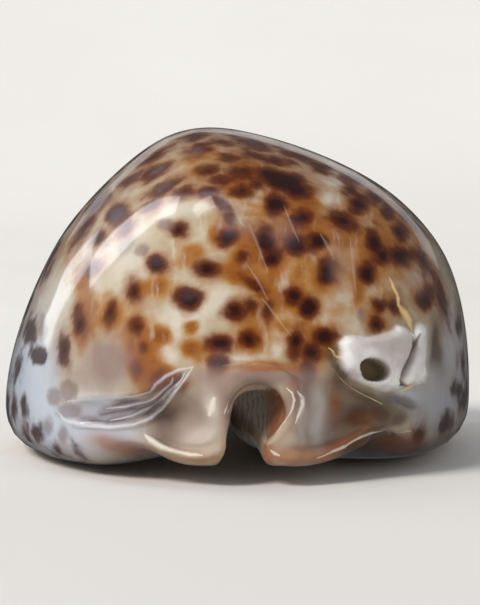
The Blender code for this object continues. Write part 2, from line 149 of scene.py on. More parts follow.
def between(a, b, share):
    return [tuple((1 - share) * p + share * q for p, q in zip(m, n)) for m, n in zip(a, b)]


def baseHalf(lipX, sideX, base, rise, margin):
    return [
        (lipX + across * (sideX - lipX), base + lip * rise + side * (margin - base) + added)
        for across, lip, side, added in section["base"]
    ]


def canalSection(slit, y, base, edge, count):
    ring = []
    lean = body["canalLean"] * ease(-y, *body["canalLeansFrom"])
    square = body["canalSquareness"]
    middle, aside = body["canalLeanShare"]
    for k in range(count):
        turn = math.pi * k / (count - 1)
        out = math.copysign(abs(math.cos(turn)) ** square, -math.cos(turn))
        up = math.sin(turn) ** square
        x = slit + body["canalHalf"] * out + lean * up * (middle + aside * out)
        ring.append((x, edge + (base + body["canalHeight"] - edge) * up))
    return ring


def bodyRing(angle):
    # one cross-section of the shell, as the control points of the outer skin and of the inner one
    cosine = math.cos(angle)
    front = cosine > 0
    plan = body["frontPlan"] if front else body["backPlan"]
    profile = body["frontProfile"] if front else body["backProfile"]
    along = abs(cosine) ** (2 / plan)
    across = math.sin(angle) ** (2 / plan)
    y = body["widestY"] - math.copysign((body["frontReach"] if front else body["backReach"]) * along, cosine)
    slit = slitMiddle(y)
    middle = slit * (1 - ease(across, *body["slitLeavesMiddle"]))
    half = body["width"] / 2 * across
    left, right = middle - half, middle + half
    lipLeft, lipRight = slit - body["slitGap"] / 2, slit + body["slitGap"] / 2
    base = (body["frontLift"] if front else body["backLift"]) * along ** body["endFade"]
    top = body["height"] * (1 - along**profile) ** (1 / profile)
    margin = base + min(body["marginHeight"], body["marginShare"] * (top - base))
    rise = body["lipRise"] * ease(across, *body["lipStands"])
    fullness = ease(across, *body["fullSection"])
    crown = body["crownShift"] * fullness + middle

    def flank(shape, sign):
        return [
            (middle + sign * half * f, margin + (top - margin) * g)
            for f, g in between(section["end"], shape, fullness)
        ]

    def inside(points, sign):
        wall = []
        for x, z in points:
            up = (z - margin) / max(top - margin, 1.0)
            thick = body["marginWall"] + (body["domeWall"] - body["marginWall"]) * ease(up, *body["wallThins"])
            lean = ease(abs(x - middle), 0, body["wallLeans"] * half)
            wall.append((x - sign * thick * lean, z - thick * ease(up, *body["roofThickens"])))
        return wall

    leftFlank, rightFlank = flank(section["left"], -1), flank(section["right"], 1)
    outer = baseHalf(lipLeft, left, base, rise, margin) + leftFlank + [(crown, top)]
    outer += rightFlank[::-1] + baseHalf(lipRight, right, base, rise, margin)[::-1]
    edge = base + rise + body["lipRound"]
    floor = base + body["shelf"]
    whorl = body["whorlRise"] * ease(across, *body["whorlStands"])
    spanLeft = left + body["marginWall"] - lipLeft
    spanRight = right - body["marginWall"] - lipRight
    cavity = [(lipLeft, edge), (lipLeft + body["leftEdge"][0], edge + body["leftEdge"][1])]
    cavity += [(lipLeft + share * spanLeft, floor + up) for share, up in section["shelf"]]
    cavity += inside(leftFlank, -1) + [(crown, top - body["domeWall"])] + inside(rightFlank, 1)[::-1]
    cavity += [(lipRight + share * spanRight, floor + up + roll * whorl) for share, up, roll in section["whorl"]]
    aside, share, above = body["rightEdge"]
    cavity += [(lipRight + aside, floor + share * whorl), (lipRight, edge + above), (lipRight, edge)]
    canal = canalSection(slit, y, base, edge, len(cavity))
    inner = between(canal, cavity, ease(across, *body["cavityOpens"]))
    inner[0], inner[-1] = outer[0], outer[-1]
    return [np.array([(float(x), y, float(z)) for x, z in skin]) for skin in (outer, inner)]


def rimRing(grow, back, feet, y, lift, archPoints):
    # one ring of a canal's rolled rim; with no feet it runs straight from each lip's edge to the arch
    front = y < 0
    centreX = rim["archCentre"][0] if front else 0.0
    size = 1.0 if front else rim["backShrink"]
    left, right, height = (size * radius + grow for radius in rim["crest"])
    arch = []
    for k in range(archPoints):
        turn = math.radians(-rim["archSweep"] + (180 + 2 * rim["archSweep"]) * k / (archPoints - 1))
        out = -math.cos(turn)
        up = rim["archCentre"][1] * size + height * math.sin(turn)
        arch.append((centreX + (right if out > 0 else left) * out, up))
    if not feet:
        edge = np.array([body["slitGap"] / 2, body["lipRound"] + rim["edgeLift"]])
        count = len(rim["leftFeet"][0])
        feet = [
            np.linspace(edge * (-1, 1), arch[0], count, endpoint=False),
            np.linspace(edge, arch[-1], count, endpoint=False),
        ]
    place = y - math.copysign(back, y)
    return [(x + slitMiddle(place), place, z + lift) for x, z in (*feet[0], *arch, *feet[1][::-1])]



def rimRings(y, lift, count):
    archPoints = count - 2 * len(rim["leftFeet"][0])
    rightFeet = rim["rightFeet"] if y < 0 else [[(-x, z) for x, z in foot] for foot in rim["leftFeet"]]
    outside = [rimRing(0, 0, None, y, lift, archPoints)]
    for (grow, back), left, right in zip(rim["outside"], rim["leftFeet"], rightFeet):
        outside.append(rimRing(grow, back, (left, right), y, lift, archPoints))
    inside = [rimRing(grow, back, None, y, lift, archPoints) for grow, back in rim["inside"]]
    return outside, inside


def controlNets():
    rings = [bodyRing(math.radians(a)) for a in body["ringAngles"]]
    count = len(rings[0][0])
    frontOut, frontIn = rimRings(-body["length"] / 2, body["frontLift"], count)
    backOut, backIn = rimRings(body["length"] / 2, body["backLift"], count)
    outer = frontOut + [skins[0] for skins in rings] + backOut[::-1]
    inner = frontOut[:1] + frontIn + [skins[1] for skins in rings] + backIn[::-1] + backOut[:1]
    return np.array(outer), np.array(inner)


outerNet, innerNet = controlNets()


def splineShares(at, count):
    # cubic B-spline: which four rows of the widened net count, and how much each
    cell = np.minimum(at.astype(int), count - 2)
    t = at - cell
    shares = [(1 - t) ** 3 / 6, (3 * t**3 - 6 * t**2 + 4) / 6, (-3 * t**3 + 3 * t**2 + 3 * t + 1) / 6, t**3 / 6]
    return cell, shares


def onSkin(net, other, rowAt, columnAt):
    # the other skin's first rows stand beyond this one's edges, so that they meet smoothly
    rows, columns = net.shape[:2]
    wide = np.zeros((rows + 2, columns + 2, 3))
    wide[1:-1, 1:-1] = net
    wide[0, 1:-1], wide[-1, 1:-1] = other[1], other[-2]
    wide[1:-1, 0], wide[1:-1, -1] = other[:, 1], other[:, -2]
    for i, near in ((0, 1), (-1, -2)):
        for j, beside in ((0, 1), (-1, -2)):
            wide[i, j] = net[near, beside]
    rowCell, rowShares = splineShares(rowAt, rows)
    columnCell, columnShares = splineShares(columnAt, columns)
    points = np.zeros((len(rowAt), 3))
    for a in range(4):
        for b in range(4):
            points += (rowShares[a] * columnShares[b])[:, None] * wide[rowCell + a, columnCell + b]
    return points


# The sheets that become the two skins
sheets = dict(
    rows=112, columns=104, passes=4, liningKept=0.05, mouthKept=0.4, edge=0.018, mouthY=-25.0,
    seam=0.001, border=0.00001, mergeWithin=0.0005, domeCell=0.66, frontDome=dict(maxY=3.5, minZ=3.0),
    lipCell=0.75, lipBand=5.5, lipBelow=6, largestCell=9.0, evenness=(0.35, 0.6), samples=400,
    # finer places at the front: centre, reach, largest cell
    finer=(
        ((13.0, -26.3, 11.0), 6.8, 0.3),
        ((-10.0, -29.5, 6.8), 7.5, 0.4),
        ((-2.5, -32.0, 7.5), 6.0, 0.38),
        ((4.0, -32.5, 7.0), 6.5, 0.38),
        ((9.5, -30.0, 4.5), 5.5, 0.36),
    ),
)


def densities():
    # how the sheet's rows and columns are shared out over the net's
    lipSteps = np.abs(np.diff(outerNet[:, 0, 1])) + sheets["evenness"][0]
    middleRing = outerNet[len(outerNet) // 2]
    ringSteps = np.linalg.norm(np.diff(middleRing, axis=0), axis=1) + sheets["evenness"][1]
    return np.concatenate([[0], np.cumsum(lipSteps)]), np.concatenate([[0], np.cumsum(ringSteps)])


rowReach, columnReach = densities()


def netPlace(flat):
    # a point of the flat unit sheet, as its row and column in the net
    rowAt = np.interp(flat[:, 1] * rowReach[-1], rowReach, range(len(rowReach)))
    columnAt = np.interp(flat[:, 0] * columnReach[-1], columnReach, range(len(columnReach)))
    return rowAt, columnAt


def fitToFrame():
    # growth and shift that bring the net's surface to the solid's box
    across = np.linspace(0, 1, sheets["samples"])
    flat = np.stack(np.meshgrid(across, across), -1).reshape(-1, 2)
    points = onSkin(outerNet, innerNet, *netPlace(flat))
    low, high = points.min(axis=0), points.max(axis=0)
    boxLow, boxHigh = (np.array(corner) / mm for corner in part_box("shell"))
    size = boxHigh - boxLow + np.array([0, 0, body["restCut"]])
    grow = size / (high - low)
    shift = np.array([-(low[0] + high[0]) / 2, -(low[1] + high[1]) / 2, -low[2] - body["restCut"] / grow[2]])
    return grow, shift


grow, shift = fitToFrame()


def wrapped(flat, inner):
    nets = (innerNet, outerNet) if inner else (outerNet, innerNet)
    points = (onSkin(*nets, *netPlace(flat)) + shift) * grow
    if not inner:
        for centre, reach, push in hollows.values():
            near = np.exp(-(((points - centre) / reach) ** 2).sum(axis=1))
            near *= np.clip((body["length"] / 2 - np.abs(points[:, 1])) / hollowFade, 0, 1)
            points += near[:, None] * np.array(push)
    return points


def readAll(items, label, kind=np.float32):
    values = np.zeros(len(items), kind)
    items.foreach_get(label, values)
    return values


def readPoints(obj, label="co"):
    # places of the vertices, or their normals
    values = np.zeros(len(obj.data.vertices) * 3, np.float32)
    obj.data.vertices.foreach_get(label, values)
    return values.reshape(-1, 3).astype(float)


def writePoints(obj, points):
    obj.data.vertices.foreach_set("co", np.asarray(points, np.float32).ravel())
    obj.data.update()


def readLayer(obj, label):
    return readAll(obj.data.attributes[label].data, "value").astype(float)


def writeLayer(obj, label, values):
    layer = obj.data.attributes.get(label) or obj.data.attributes.new(label, "FLOAT", "POINT")
    layer.data.foreach_set("value", np.asarray(values, np.float32))


def flatOf(obj):
    return readPoints(obj)[:, :2] + 0.5


def cellsOf(obj, points):
    # middle and size of each face, from its first and third corners
    mesh = obj.data
    start = readAll(mesh.polygons, "loop_start", int)
    corner = readAll(mesh.loops, "vertex_index", int)
    first, third = points[corner[start]], points[corner[start + 2]]
    return (first + third) / 2, np.linalg.norm(first - third, axis=1)


def editFaces(obj, chosen, operator, **settings):
    # one operator of edit mode on these faces alone, which are chosen in object mode
    mesh = obj.data
    mesh.vertices.foreach_set("select", np.zeros(len(mesh.vertices), bool))
    mesh.edges.foreach_set("select", np.zeros(len(mesh.edges), bool))
    mesh.polygons.foreach_set("select", chosen)
    bpy.ops.object.mode_set(mode="EDIT")
    bpy.ops.mesh.select_mode(type="FACE")
    operator(**settings)
    bpy.ops.object.mode_set(mode="OBJECT")


def largestCell(middle):
    # how large a face may stay, by where it comes to lie
    limit = np.full(len(middle), sheets["largestCell"])
    dome = (middle[:, 1] < sheets["frontDome"]["maxY"]) & (middle[:, 2] > sheets["frontDome"]["minZ"])
    limit[dome] = sheets["domeCell"]
    beside = np.abs(middle[:, 0] - slitMiddle(middle[:, 1])) < sheets["lipBand"]
    beside &= middle[:, 2] < sheets["lipBelow"]
    limit[beside] = np.minimum(limit[beside], sheets["lipCell"])
    for centre, reach, cell in sheets["finer"]:
        near = np.linalg.norm(middle - centre, axis=1) < reach
        limit[near] = np.minimum(limit[near], cell)
    return limit


def addGrid(name, columns, rows):
    bpy.ops.object.select_all(action="DESELECT")
    bpy.ops.mesh.primitive_grid_add(x_subdivisions=columns, y_subdivisions=rows, size=1)
    bpy.context.object.name = name
    return bpy.context.object


def addSheet(name, inner):
    obj = addGrid(name, sheets["columns"], sheets["rows"])
    # both sheets are cut finer in the same cells, so that their edges still meet
    for _ in range(sheets["passes"]):
        middle, size = cellsOf(obj, wrapped(flatOf(obj), inner=False))
        editFaces(obj, size > largestCell(middle), bpy.ops.mesh.subdivide, number_cuts=1)
    if inner:
        # the lining is thinned, because little of it shows
        for atMouth, kept in ((True, sheets["mouthKept"]), (False, sheets["liningKept"])):
            flat = np.concatenate([flatOf(obj), np.zeros((len(obj.data.vertices), 1))], axis=1)
            middle = cellsOf(obj, flat)[0][:, :2]
            mouth = wrapped(middle, inner)[:, 1] < sheets["mouthY"]
            away = np.abs(middle - 0.5).max(axis=1) < 0.5 - sheets["edge"]
            editFaces(obj, away & (mouth == atMouth), bpy.ops.mesh.decimate, ratio=kept)
    flat = flatOf(obj)
    fromEdge = np.minimum(0.5 - np.abs(flat[:, 0] - 0.5), 0.5 * (0.5 - np.abs(flat[:, 1] - 0.5)))
    writeLayer(obj, "inside", ease(fromEdge, 0, sheets["edge"]) * inner)
    writeLayer(obj, "lining", ease(fromEdge, 0, sheets["seam"]) * inner)
    points = wrapped(flat, inner)
    edge = np.abs(flat - 0.5).max(axis=1) > 0.5 - sheets["border"]
    points[edge] = wrapped(flat[edge], inner=False)
    writePoints(obj, points)
    return obj


liningSheet = addSheet("lining", inner=True)
shellPiece = addSheet("cowrieShell", inner=False)
liningSheet.select_set(True)
bpy.ops.object.join()
bpy.ops.object.mode_set(mode="EDIT")
bpy.ops.mesh.select_all(action="SELECT")
bpy.ops.mesh.remove_doubles(threshold=sheets["mergeWithin"])
bpy.ops.mesh.normals_make_consistent(inside=False)
bpy.ops.object.mode_set(mode="OBJECT")
print("two skins joined:", len(shellPiece.data.polygons), "faces")


# Relief. Lines and areas are placed in the photograph's frame, in pixels, and pushed along the normals.
def lineField(place, path):
    # distance from a line in pixels, and the share of the way along it
    path = np.array(path, float)
    lengths = np.linalg.norm(np.diff(path, axis=0), axis=1)
    walked = np.concatenate([[0], np.cumsum(lengths)])
    nearest = np.full(len(place), 1e9)
    share = np.zeros(len(place))
    for a, b, before, length in zip(path, path[1:], walked, lengths):
        t = np.clip(((place - a) @ (b - a)) / length**2, 0, 1)
        away = np.linalg.norm(place - a - t[:, None] * (b - a), axis=1)
        closer = away < nearest
        nearest[closer] = away[closer]
        share[closer] = (before + t[closer] * length) / walked[-1]
    return nearest, share


def areaField(place, outline):
    # pixels inside a closed outline, negative outside it
    outline = np.array(outline, float)
    away, _ = lineField(place, np.concatenate([outline, outline[:1]]))
    within = np.zeros(len(place), bool)
    for a, b in zip(outline, np.roll(outline, -1, axis=0)):
        crosses = (a[1] > place[:, 1]) != (b[1] > place[:, 1])
        with np.errstate(divide="ignore", invalid="ignore"):
            meet = a[0] + (place[:, 1] - a[1]) * (b[0] - a[0]) / (b[1] - a[1])
        within ^= crosses & (place[:, 0] < meet)
    return np.where(within, away, -away)


def ovalReach(place, oval):
    # 0 in the middle of an oval and 1 at its edge: x, y, half width, half height and tilt in degrees, if any
    x, y, wide, high, tilt = (*oval, 0.0)[:5]
    turn = math.radians(tilt)
    right = (place[:, 0] - x) * math.cos(turn) - (place[:, 1] - y) * math.sin(turn)
    down = (place[:, 0] - x) * math.sin(turn) + (place[:, 1] - y) * math.cos(turn)
    return (right / wide) ** 2 + (down / high) ** 2


def ovalField(place, oval):
    # pixels inside an oval, negative outside it
    return (1 - np.sqrt(ovalReach(place, oval))) * min(oval[2:4])


def softOval(place, oval):
    # 1 in the middle of an oval, fading out past its edge
    return np.exp(-ovalReach(place, oval))


def ridge(place, height, width, taper, path):
    away, share = lineField(place, path)
    return height * ease(share, 0, taper) * ease(1 - share, 0, taper) * np.exp(-((away / width) ** 2))


fold = dict(
    top=((66, 402), (76, 400), (96, 398), (116, 398), (140, 393.5), (152, 388), (169, 376), (192, 367.5)),
    edge=(
        (54, 412), (62, 420.5), (82, 425), (111, 427), (132, 426), (148, 420.5), (161, 407.5), (173, 393.5),
        (185, 381), (192, 367.5),
    ),
    depth=0.4, belowTop=(-2.0, 8.0), aboveEdge=(-1.5, 6.0), fromLeft=(58, 82), fromRight=(-192, -176), topRise=2,
)
# Raised and sunk lines: height in millimetres, width in pixels, share that fades at each end, and the path
lines = dict(
    foldEdge=(0.34, 2.4, 0.12, fold["edge"]),
    foldTop=(0.16, 2.6, 0.12, [(x, y - fold["topRise"]) for x, y in fold["top"]]),
    topStreak=(0.13, 2.0, 0.3, ((90, 405), (118, 403), (138, 399))),
    longStreak=(0.13, 2.0, 0.3, ((100, 412), (120, 408), (140, 405), (155, 398), (168, 385), (180, 374))),
    lowStreak=(0.13, 2.0, 0.3, ((110, 419), (130, 417), (148, 411), (160, 400), (172, 386))),
    shortStreak=(0.13, 2.0, 0.3, ((152, 388), (162, 380), (170, 377))),
    foldCrease=(-0.2, 1.8, 0.3, ((138, 419), (148, 415), (160, 403), (170, 392), (182, 376))),
    # the two ears of the front canal
    leftRim=(0.3, 3.6, 0.2, (
        (223, 440), (222, 446), (217, 452.5), (209, 456), (198, 457), (184, 455.5), (169, 451), (156, 444.5),
        (148, 437), (143, 430),
    )),
    rightRim=(0.3, 3.6, 0.2, (
        (271, 442), (271, 447), (274, 453), (281, 457), (292, 459), (308, 458), (321, 454), (335, 448.5), (349, 441),
        (361, 434), (371, 429), (385, 427), (396, 429),
    )),
    leftCrease=(-0.3, 4.0, 0.25, ((152, 433), (165, 440), (181, 446), (198, 448), (210, 446), (216, 438))),
    rightCrease=(-0.3, 4.0, 0.25, ((279, 445), (292, 449), (307, 448), (321, 443), (337, 436), (351, 429), (365, 422))),
    stepBack=(-0.7, 6.0, 0.2, ((345, 456), (358, 448), (372, 441), (388, 437), (400, 438))),
    # the canal's rolled collar
    collarGroove=(-0.22, 2.2, 0.2, ((294, 392), (300, 400), (299, 411), (295, 420), (289, 428))),
    innerRidge=(0.16, 1.8, 0.2, ((288, 388), (292.5, 392), (294.5, 400), (292.5, 409), (288, 417), (281, 427))),
    outerRidge=(0.16, 1.8, 0.2, ((298, 391), (304, 399), (304.5, 409), (300.5, 417), (295, 424))),
)
# Scoops of the ears: depth in millimetres, and the oval
scoops = dict(
    left=(0.35, (188, 425, 26, 24)), leftShade=(-0.1, (166, 430, 14, 16, 20)),
    leftFill=(-0.35, (150, 395, 22, 14, -20)), right=(0.65, (322, 430, 26, 16, 20)),
)
wound = dict(
    place=(375, 360), near=14, fromX=300, shift=(3.2, -1.0), edgeShift=(0.4, -0.6),
    plate=(
        (340, 342.5), (345, 336.5), (352.5, 335.5), (365, 338), (380, 335.5), (390, 332), (397.5, 326), (406, 328.5),
        (414, 335), (414.5, 345), (410, 357.5), (402.5, 372.5), (400.5, 380), (403, 386), (390, 389), (377.5, 386),
        (365, 381), (355, 376), (347.5, 367.5), (342.5, 357.5),
    ),
    plateRise=0.55, plateEdge=(-2.5, 5.0),
    fin=(
        (419, 325), (428, 323), (431, 334), (430, 350), (429, 364), (431, 375), (422, 382), (410, 383), (405, 377),
        (410, 360), (415, 342),
    ),
    finRise=0.42, finEdge=(-1.2, 4.5),
    hole=(375, 369, 14.0, 10.2, -20), holeDepth=1.5, holeEdge=(-1.8, 1.8),
    crack=(1.0, 2.3, 0.1, ((415, 336), (416, 346), (412, 358), (404.5, 372.5), (403, 380), (406, 387))),
    moat=(-0.6, 7.0, 0.12, ((332, 349), (337, 362), (346, 375), (358, 384), (374, 391), (392, 394), (404, 391))),
    pit=(-0.55, 4.5, 0.3, ((437, 328), (439, 345), (436, 362), (431, 374))), pitEdge=(-2, 1),
    brim=(0.22, 2.6, 0.12, ((324, 344), (331, 366), (343, 384), (357, 394), (372, 400), (386, 405))),
    seam=(0.16, 1.7, 0.2, ((392, 277), (396, 287), (399, 299), (405, 309), (411, 320), (415, 331))),
    slot=(-0.45, 3.2, 0.3, ((394, 397), (403, 401), (415, 408))),
    lumps=((392, 341, 10, 7, 0.12), (352, 352, 7, 9, 0.1), (365, 349, 9, 5, -0.1), (401, 352, 5, 9, -0.1)),
)
# Each lip's teeth: side, pitch and height
teeth = dict(
    left=(-1, 2.06, 0.5), right=(1, 1.72, 0.34), fromY=-25.5, toY=26.5, fade=(0.5, 1.5), below=8,
    inward=(0.6, 2.6), outward=(0.8, 3.4), sharpness=1.4, level=0.45,
)


def toothRelief(points, lining):
    # each lip's line comes from the sheet's own side edge
    along = np.linspace(0, 1, 300)
    left, right = (wrapped(np.stack([np.full(300, side), along], 1), inner=False) for side in (0.0, 1.0))
    middle = (left[:, 0].mean() + right[:, 0].mean()) / 2
    push = np.zeros(len(points))
    gaps = np.zeros(len(points))
    x, y, z = points.T
    before, past = teeth["fade"]
    for lip, (sign, pitch, height) in ((left, teeth["left"]), (right, teeth["right"])):
        lipX = np.interp(y, lip[:, 1], lip[:, 0])
        lipZ = np.interp(y, lip[:, 1], lip[:, 2])
        sameSide = sign * (x - middle - (lipX - lip[:, 0].mean())) > 0
        out = np.clip(sign * (x - lipX), 0, None)
        deep = np.clip(z - lipZ, 0, None)
        window = np.where(lining, 1 - ease(deep, *teeth["inward"]), 1 - ease(out, *teeth["outward"]))
        window = window * ease(y, teeth["fromY"] - before, teeth["fromY"] + past)
        window = window * ease(-y, -teeth["toY"] - before, -teeth["toY"] + past) * (z < teeth["below"]) * sameSide
        wave = 0.5 + 0.5 * np.cos(2 * math.pi * (y - teeth["fromY"]) / pitch)
        push += window * height * (wave ** teeth["sharpness"] - teeth["level"])
        gaps = np.maximum(gaps, window * (1 - wave) ** 1.5)
    return push, gaps


def unevenness(points, size, seed):
    offset = Vector((seed, seed * 0.7, -seed))
    return np.array([noise.noise(Vector(point) / size + offset) for point in points])


skin = dict(seenFrom=(-0.02, 0.06), frontOf=8, waviness=0.06, waveSize=5.5, waveSeed=3.0, slack=0.15)
points = readPoints(shellPiece)
normals = readPoints(shellPiece, "normal")
lining = readLayer(shellPiece, "lining") > 0.5
place = placeInPhoto(points)
toEye = eye - points
toEye /= np.linalg.norm(toEye, axis=1)[:, None]
facing = (toEye * normals).sum(axis=1)
skinSeen = ease(facing, *skin["seenFrom"]) * ~lining * (points[:, 1] < skin["frontOf"])

# the fold is a trough between two edges
foldTopY, foldEdgeY = (np.interp(place[:, 0], *np.array(fold[label]).T) for label in ("top", "edge"))
inFold = ease(place[:, 1] - foldTopY, *fold["belowTop"]) * ease(foldEdgeY - place[:, 1], *fold["aboveEdge"])
inFold *= ease(place[:, 0], *fold["fromLeft"]) * ease(-place[:, 0], *fold["fromRight"])
push = -fold["depth"] * inFold
for line in lines.values():
    push += ridge(place, *line)
for depth, oval in scoops.values():
    push -= depth * softOval(place, oval)
push *= skinSeen

# the healed wound, pushed along one direction so that its plate stays flat
nearWound = (np.linalg.norm(place - wound["place"], axis=1) < wound["near"]) & (skinSeen > 0.5)
woundOut = normals[nearWound].mean(axis=0)
woundOut /= np.linalg.norm(woundOut)
raised = place + wound["shift"]  # the plate moves by this much as it is raised
onPlate = areaField(place + wound["edgeShift"], wound["plate"])
onFin = areaField(raised, wound["fin"])
inHole = ovalField(raised, wound["hole"])
inCrack = ridge(raised, *wound["crack"])
plate = ease(onPlate, *wound["plateEdge"])
woundPush = wound["plateRise"] * plate + wound["finRise"] * ease(onFin, *wound["finEdge"])
woundPush += ridge(place, *wound["moat"]) * (1 - plate)
woundPush += ridge(place, *wound["pit"]) * (1 - ease(onFin, *wound["pitEdge"]))
for label in ("brim", "seam", "slot"):
    woundPush += ridge(place, *wound[label])
woundPush -= inCrack + wound["holeDepth"] * ease(inHole, *wound["holeEdge"])
for x, y, wide, high, rise in wound["lumps"]:
    woundPush += rise * softOval(place, (x, y, wide, high)) * plate
besideWound = place[:, 0] > wound["fromX"]
woundPush *= skinSeen * besideWound

# the strip under the right ear comes into view as the ear is stepped back
earStrip = dict(oval=(360, 446, 28, 15, 25), edge=(0.25, 0.6), frontOf=-12)
underEar = ease(softOval(place, earStrip["oval"]), *earStrip["edge"]) * (points[:, 1] < earStrip["frontOf"]) * ~lining
skinSeen = np.maximum(skinSeen, underEar)

toothPush, toothGaps = toothRelief(points, lining)
wavy = skin["waviness"] * unevenness(points, skin["waveSize"], skin["waveSeed"]) * ~lining
points += (push + toothPush + wavy)[:, None] * normals + woundPush[:, None] * woundOut
points[:, 2] = np.maximum(points[:, 2], 0.0)
low, high = (np.array(corner) / mm for corner in cadBox)
points = np.clip(points, low - skin["slack"], high + skin["slack"])
writePoints(shellPiece, points * mm)
shellPiece.data.shade_smooth()
print("relief sculpted")


# Markings: dark spots by their places in the photograph's frame (x, y, half width, half height, and tilt if any)
spots = dict(
    crown=(
        (194, 136.5, 8, 2.5, 12), (222, 143, 7, 2, -8), (199, 150, 13, 4.5, 18), (154, 157, 13, 3, 33),
        (156, 171, 12, 4, 30), (208, 171, 9.5, 5, 18), (229, 159, 9, 3.5), (222, 180, 9, 4.5, 5),
        (130, 180.5, 10, 3.5, 33), (163, 188, 14, 4.5, 28), (184, 191, 9, 4.5, 18), (210, 191, 8, 4),
        (153, 205, 8, 3.5, 35), (99, 202, 13, 5.5, 48), (117, 215, 11, 8, 50), (126, 226, 8, 4, 45),
    ),
    leftFlank=(
        (84, 228, 17, 3.5, 60), (100, 238, 8, 5, 50), (179, 231, 8, 6.5), (218, 203, 9, 3.5, -55),
        (228, 217, 9, 4, -75), (228, 237, 12, 8, 10), (158, 264.5, 9, 9), (206.5, 269, 13, 9, -5),
        (92, 269, 9, 5, 50), (45, 268, 17, 4, 65), (133, 291, 7, 10.5), (144, 347, 4, 4), (137, 368, 5, 7),
        (157, 377, 6, 3.5, 30), (188, 297.5, 12, 11.5), (79.5, 323, 6, 14), (136, 327, 6, 8), (111, 314, 5, 10),
        (30.5, 331, 4.5, 11, -5), (38, 356, 9, 8), (17.5, 368, 3, 10, -12), (64, 351, 5, 12), (14, 406, 3, 9),
        (24, 406, 3, 8), (37.5, 431, 4, 8, 8), (29, 436, 2.5, 10, 20), (58, 451, 3, 6, 35), (78, 451, 3, 6.5, 35),
    ),
    middle=(
        (236, 311, 10, 7.5), (249, 306, 8, 6), (268.4, 309.8, 4.5, 8), (219, 345, 13, 8), (218, 364, 9.5, 9),
        (249, 339.5, 9, 8), (243.6, 256.5, 6, 4.5), (266, 243, 9, 16, 12), (272, 257, 9, 10),
        (257, 288, 13, 5.5, -42), (270, 175, 16, 8, -6), (286, 182, 28, 11, -14), (298, 190.5, 13, 9, -20),
        (276, 205, 11, 12), (301, 219, 10, 9), (295, 244.5, 11.5, 9), (316, 242.5, 10, 9),
        (343.5, 221.5, 17, 8, -22), (320, 168, 10, 4, -22), (349, 179, 8, 3, -25), (351, 189, 8, 5.5, -35),
        (359, 204, 9.5, 11, -30), (327, 271.5, 10, 13, 5), (366, 273, 9.5, 10.5), (308.6, 307, 11, 11),
        (295, 297, 9, 9), (296, 343, 7, 14), (323, 336, 11, 8), (311.5, 353.8, 9, 9.5), (307, 371, 6, 10),
        (381, 305, 8, 7), (394, 306, 4.5, 7), (377, 325, 6.5, 7.5), (251, 144, 14, 3.5, -18),
        (262, 158, 20, 4, -10), (275, 160, 16, 4, -12), (299, 157, 15, 2.5, -20), (241, 191, 9, 5),
        (258, 183, 6, 5), (240, 172, 12, 5),
    ),
    rightFlank=(
        (376, 198, 9, 5, -40), (386, 211, 5.5, 9, 25), (399.5, 232, 7, 10, 25), (409, 217, 14, 3.5, -48),
        (374, 243, 7.5, 14, 8), (382, 256, 10, 8.5), (401, 256, 14, 8.5, -10), (423, 260, 4.5, 11, 18),
        (428, 295, 6.5, 9), (439, 287, 2.5, 11, 20), (424.5, 299, 8, 9), (442, 303, 2.5, 13, 20),
        (460, 321, 3, 10, 5), (463.5, 364, 2.5, 8, 5), (458, 391, 3.5, 7, 10), (463.5, 401, 2.5, 8, -10),
        (446, 423, 4.5, 10, -5), (418, 437.5, 3.5, 10, -12),
    ),
)
faintSpots = (
    (165, 225, 6, 5), (142, 251, 6, 5), (42, 326, 3, 8), (68, 391, 8, 9), (54, 397, 6, 8), (67, 412, 9, 7),
    (63, 435, 3.5, 5.5), (47.5, 426, 3.5, 6), (125.5, 401.6, 8, 3), (107, 411, 10, 4, 10), (119, 417.7, 9, 3.5, 5),
    (133, 410, 10, 3, 15), (87, 420, 8, 4), (404, 401, 10, 3, -25), (380, 413.5, 8, 5, -35),
    (399, 420, 4.5, 6, -30), (362, 314.6, 4, 5),
)
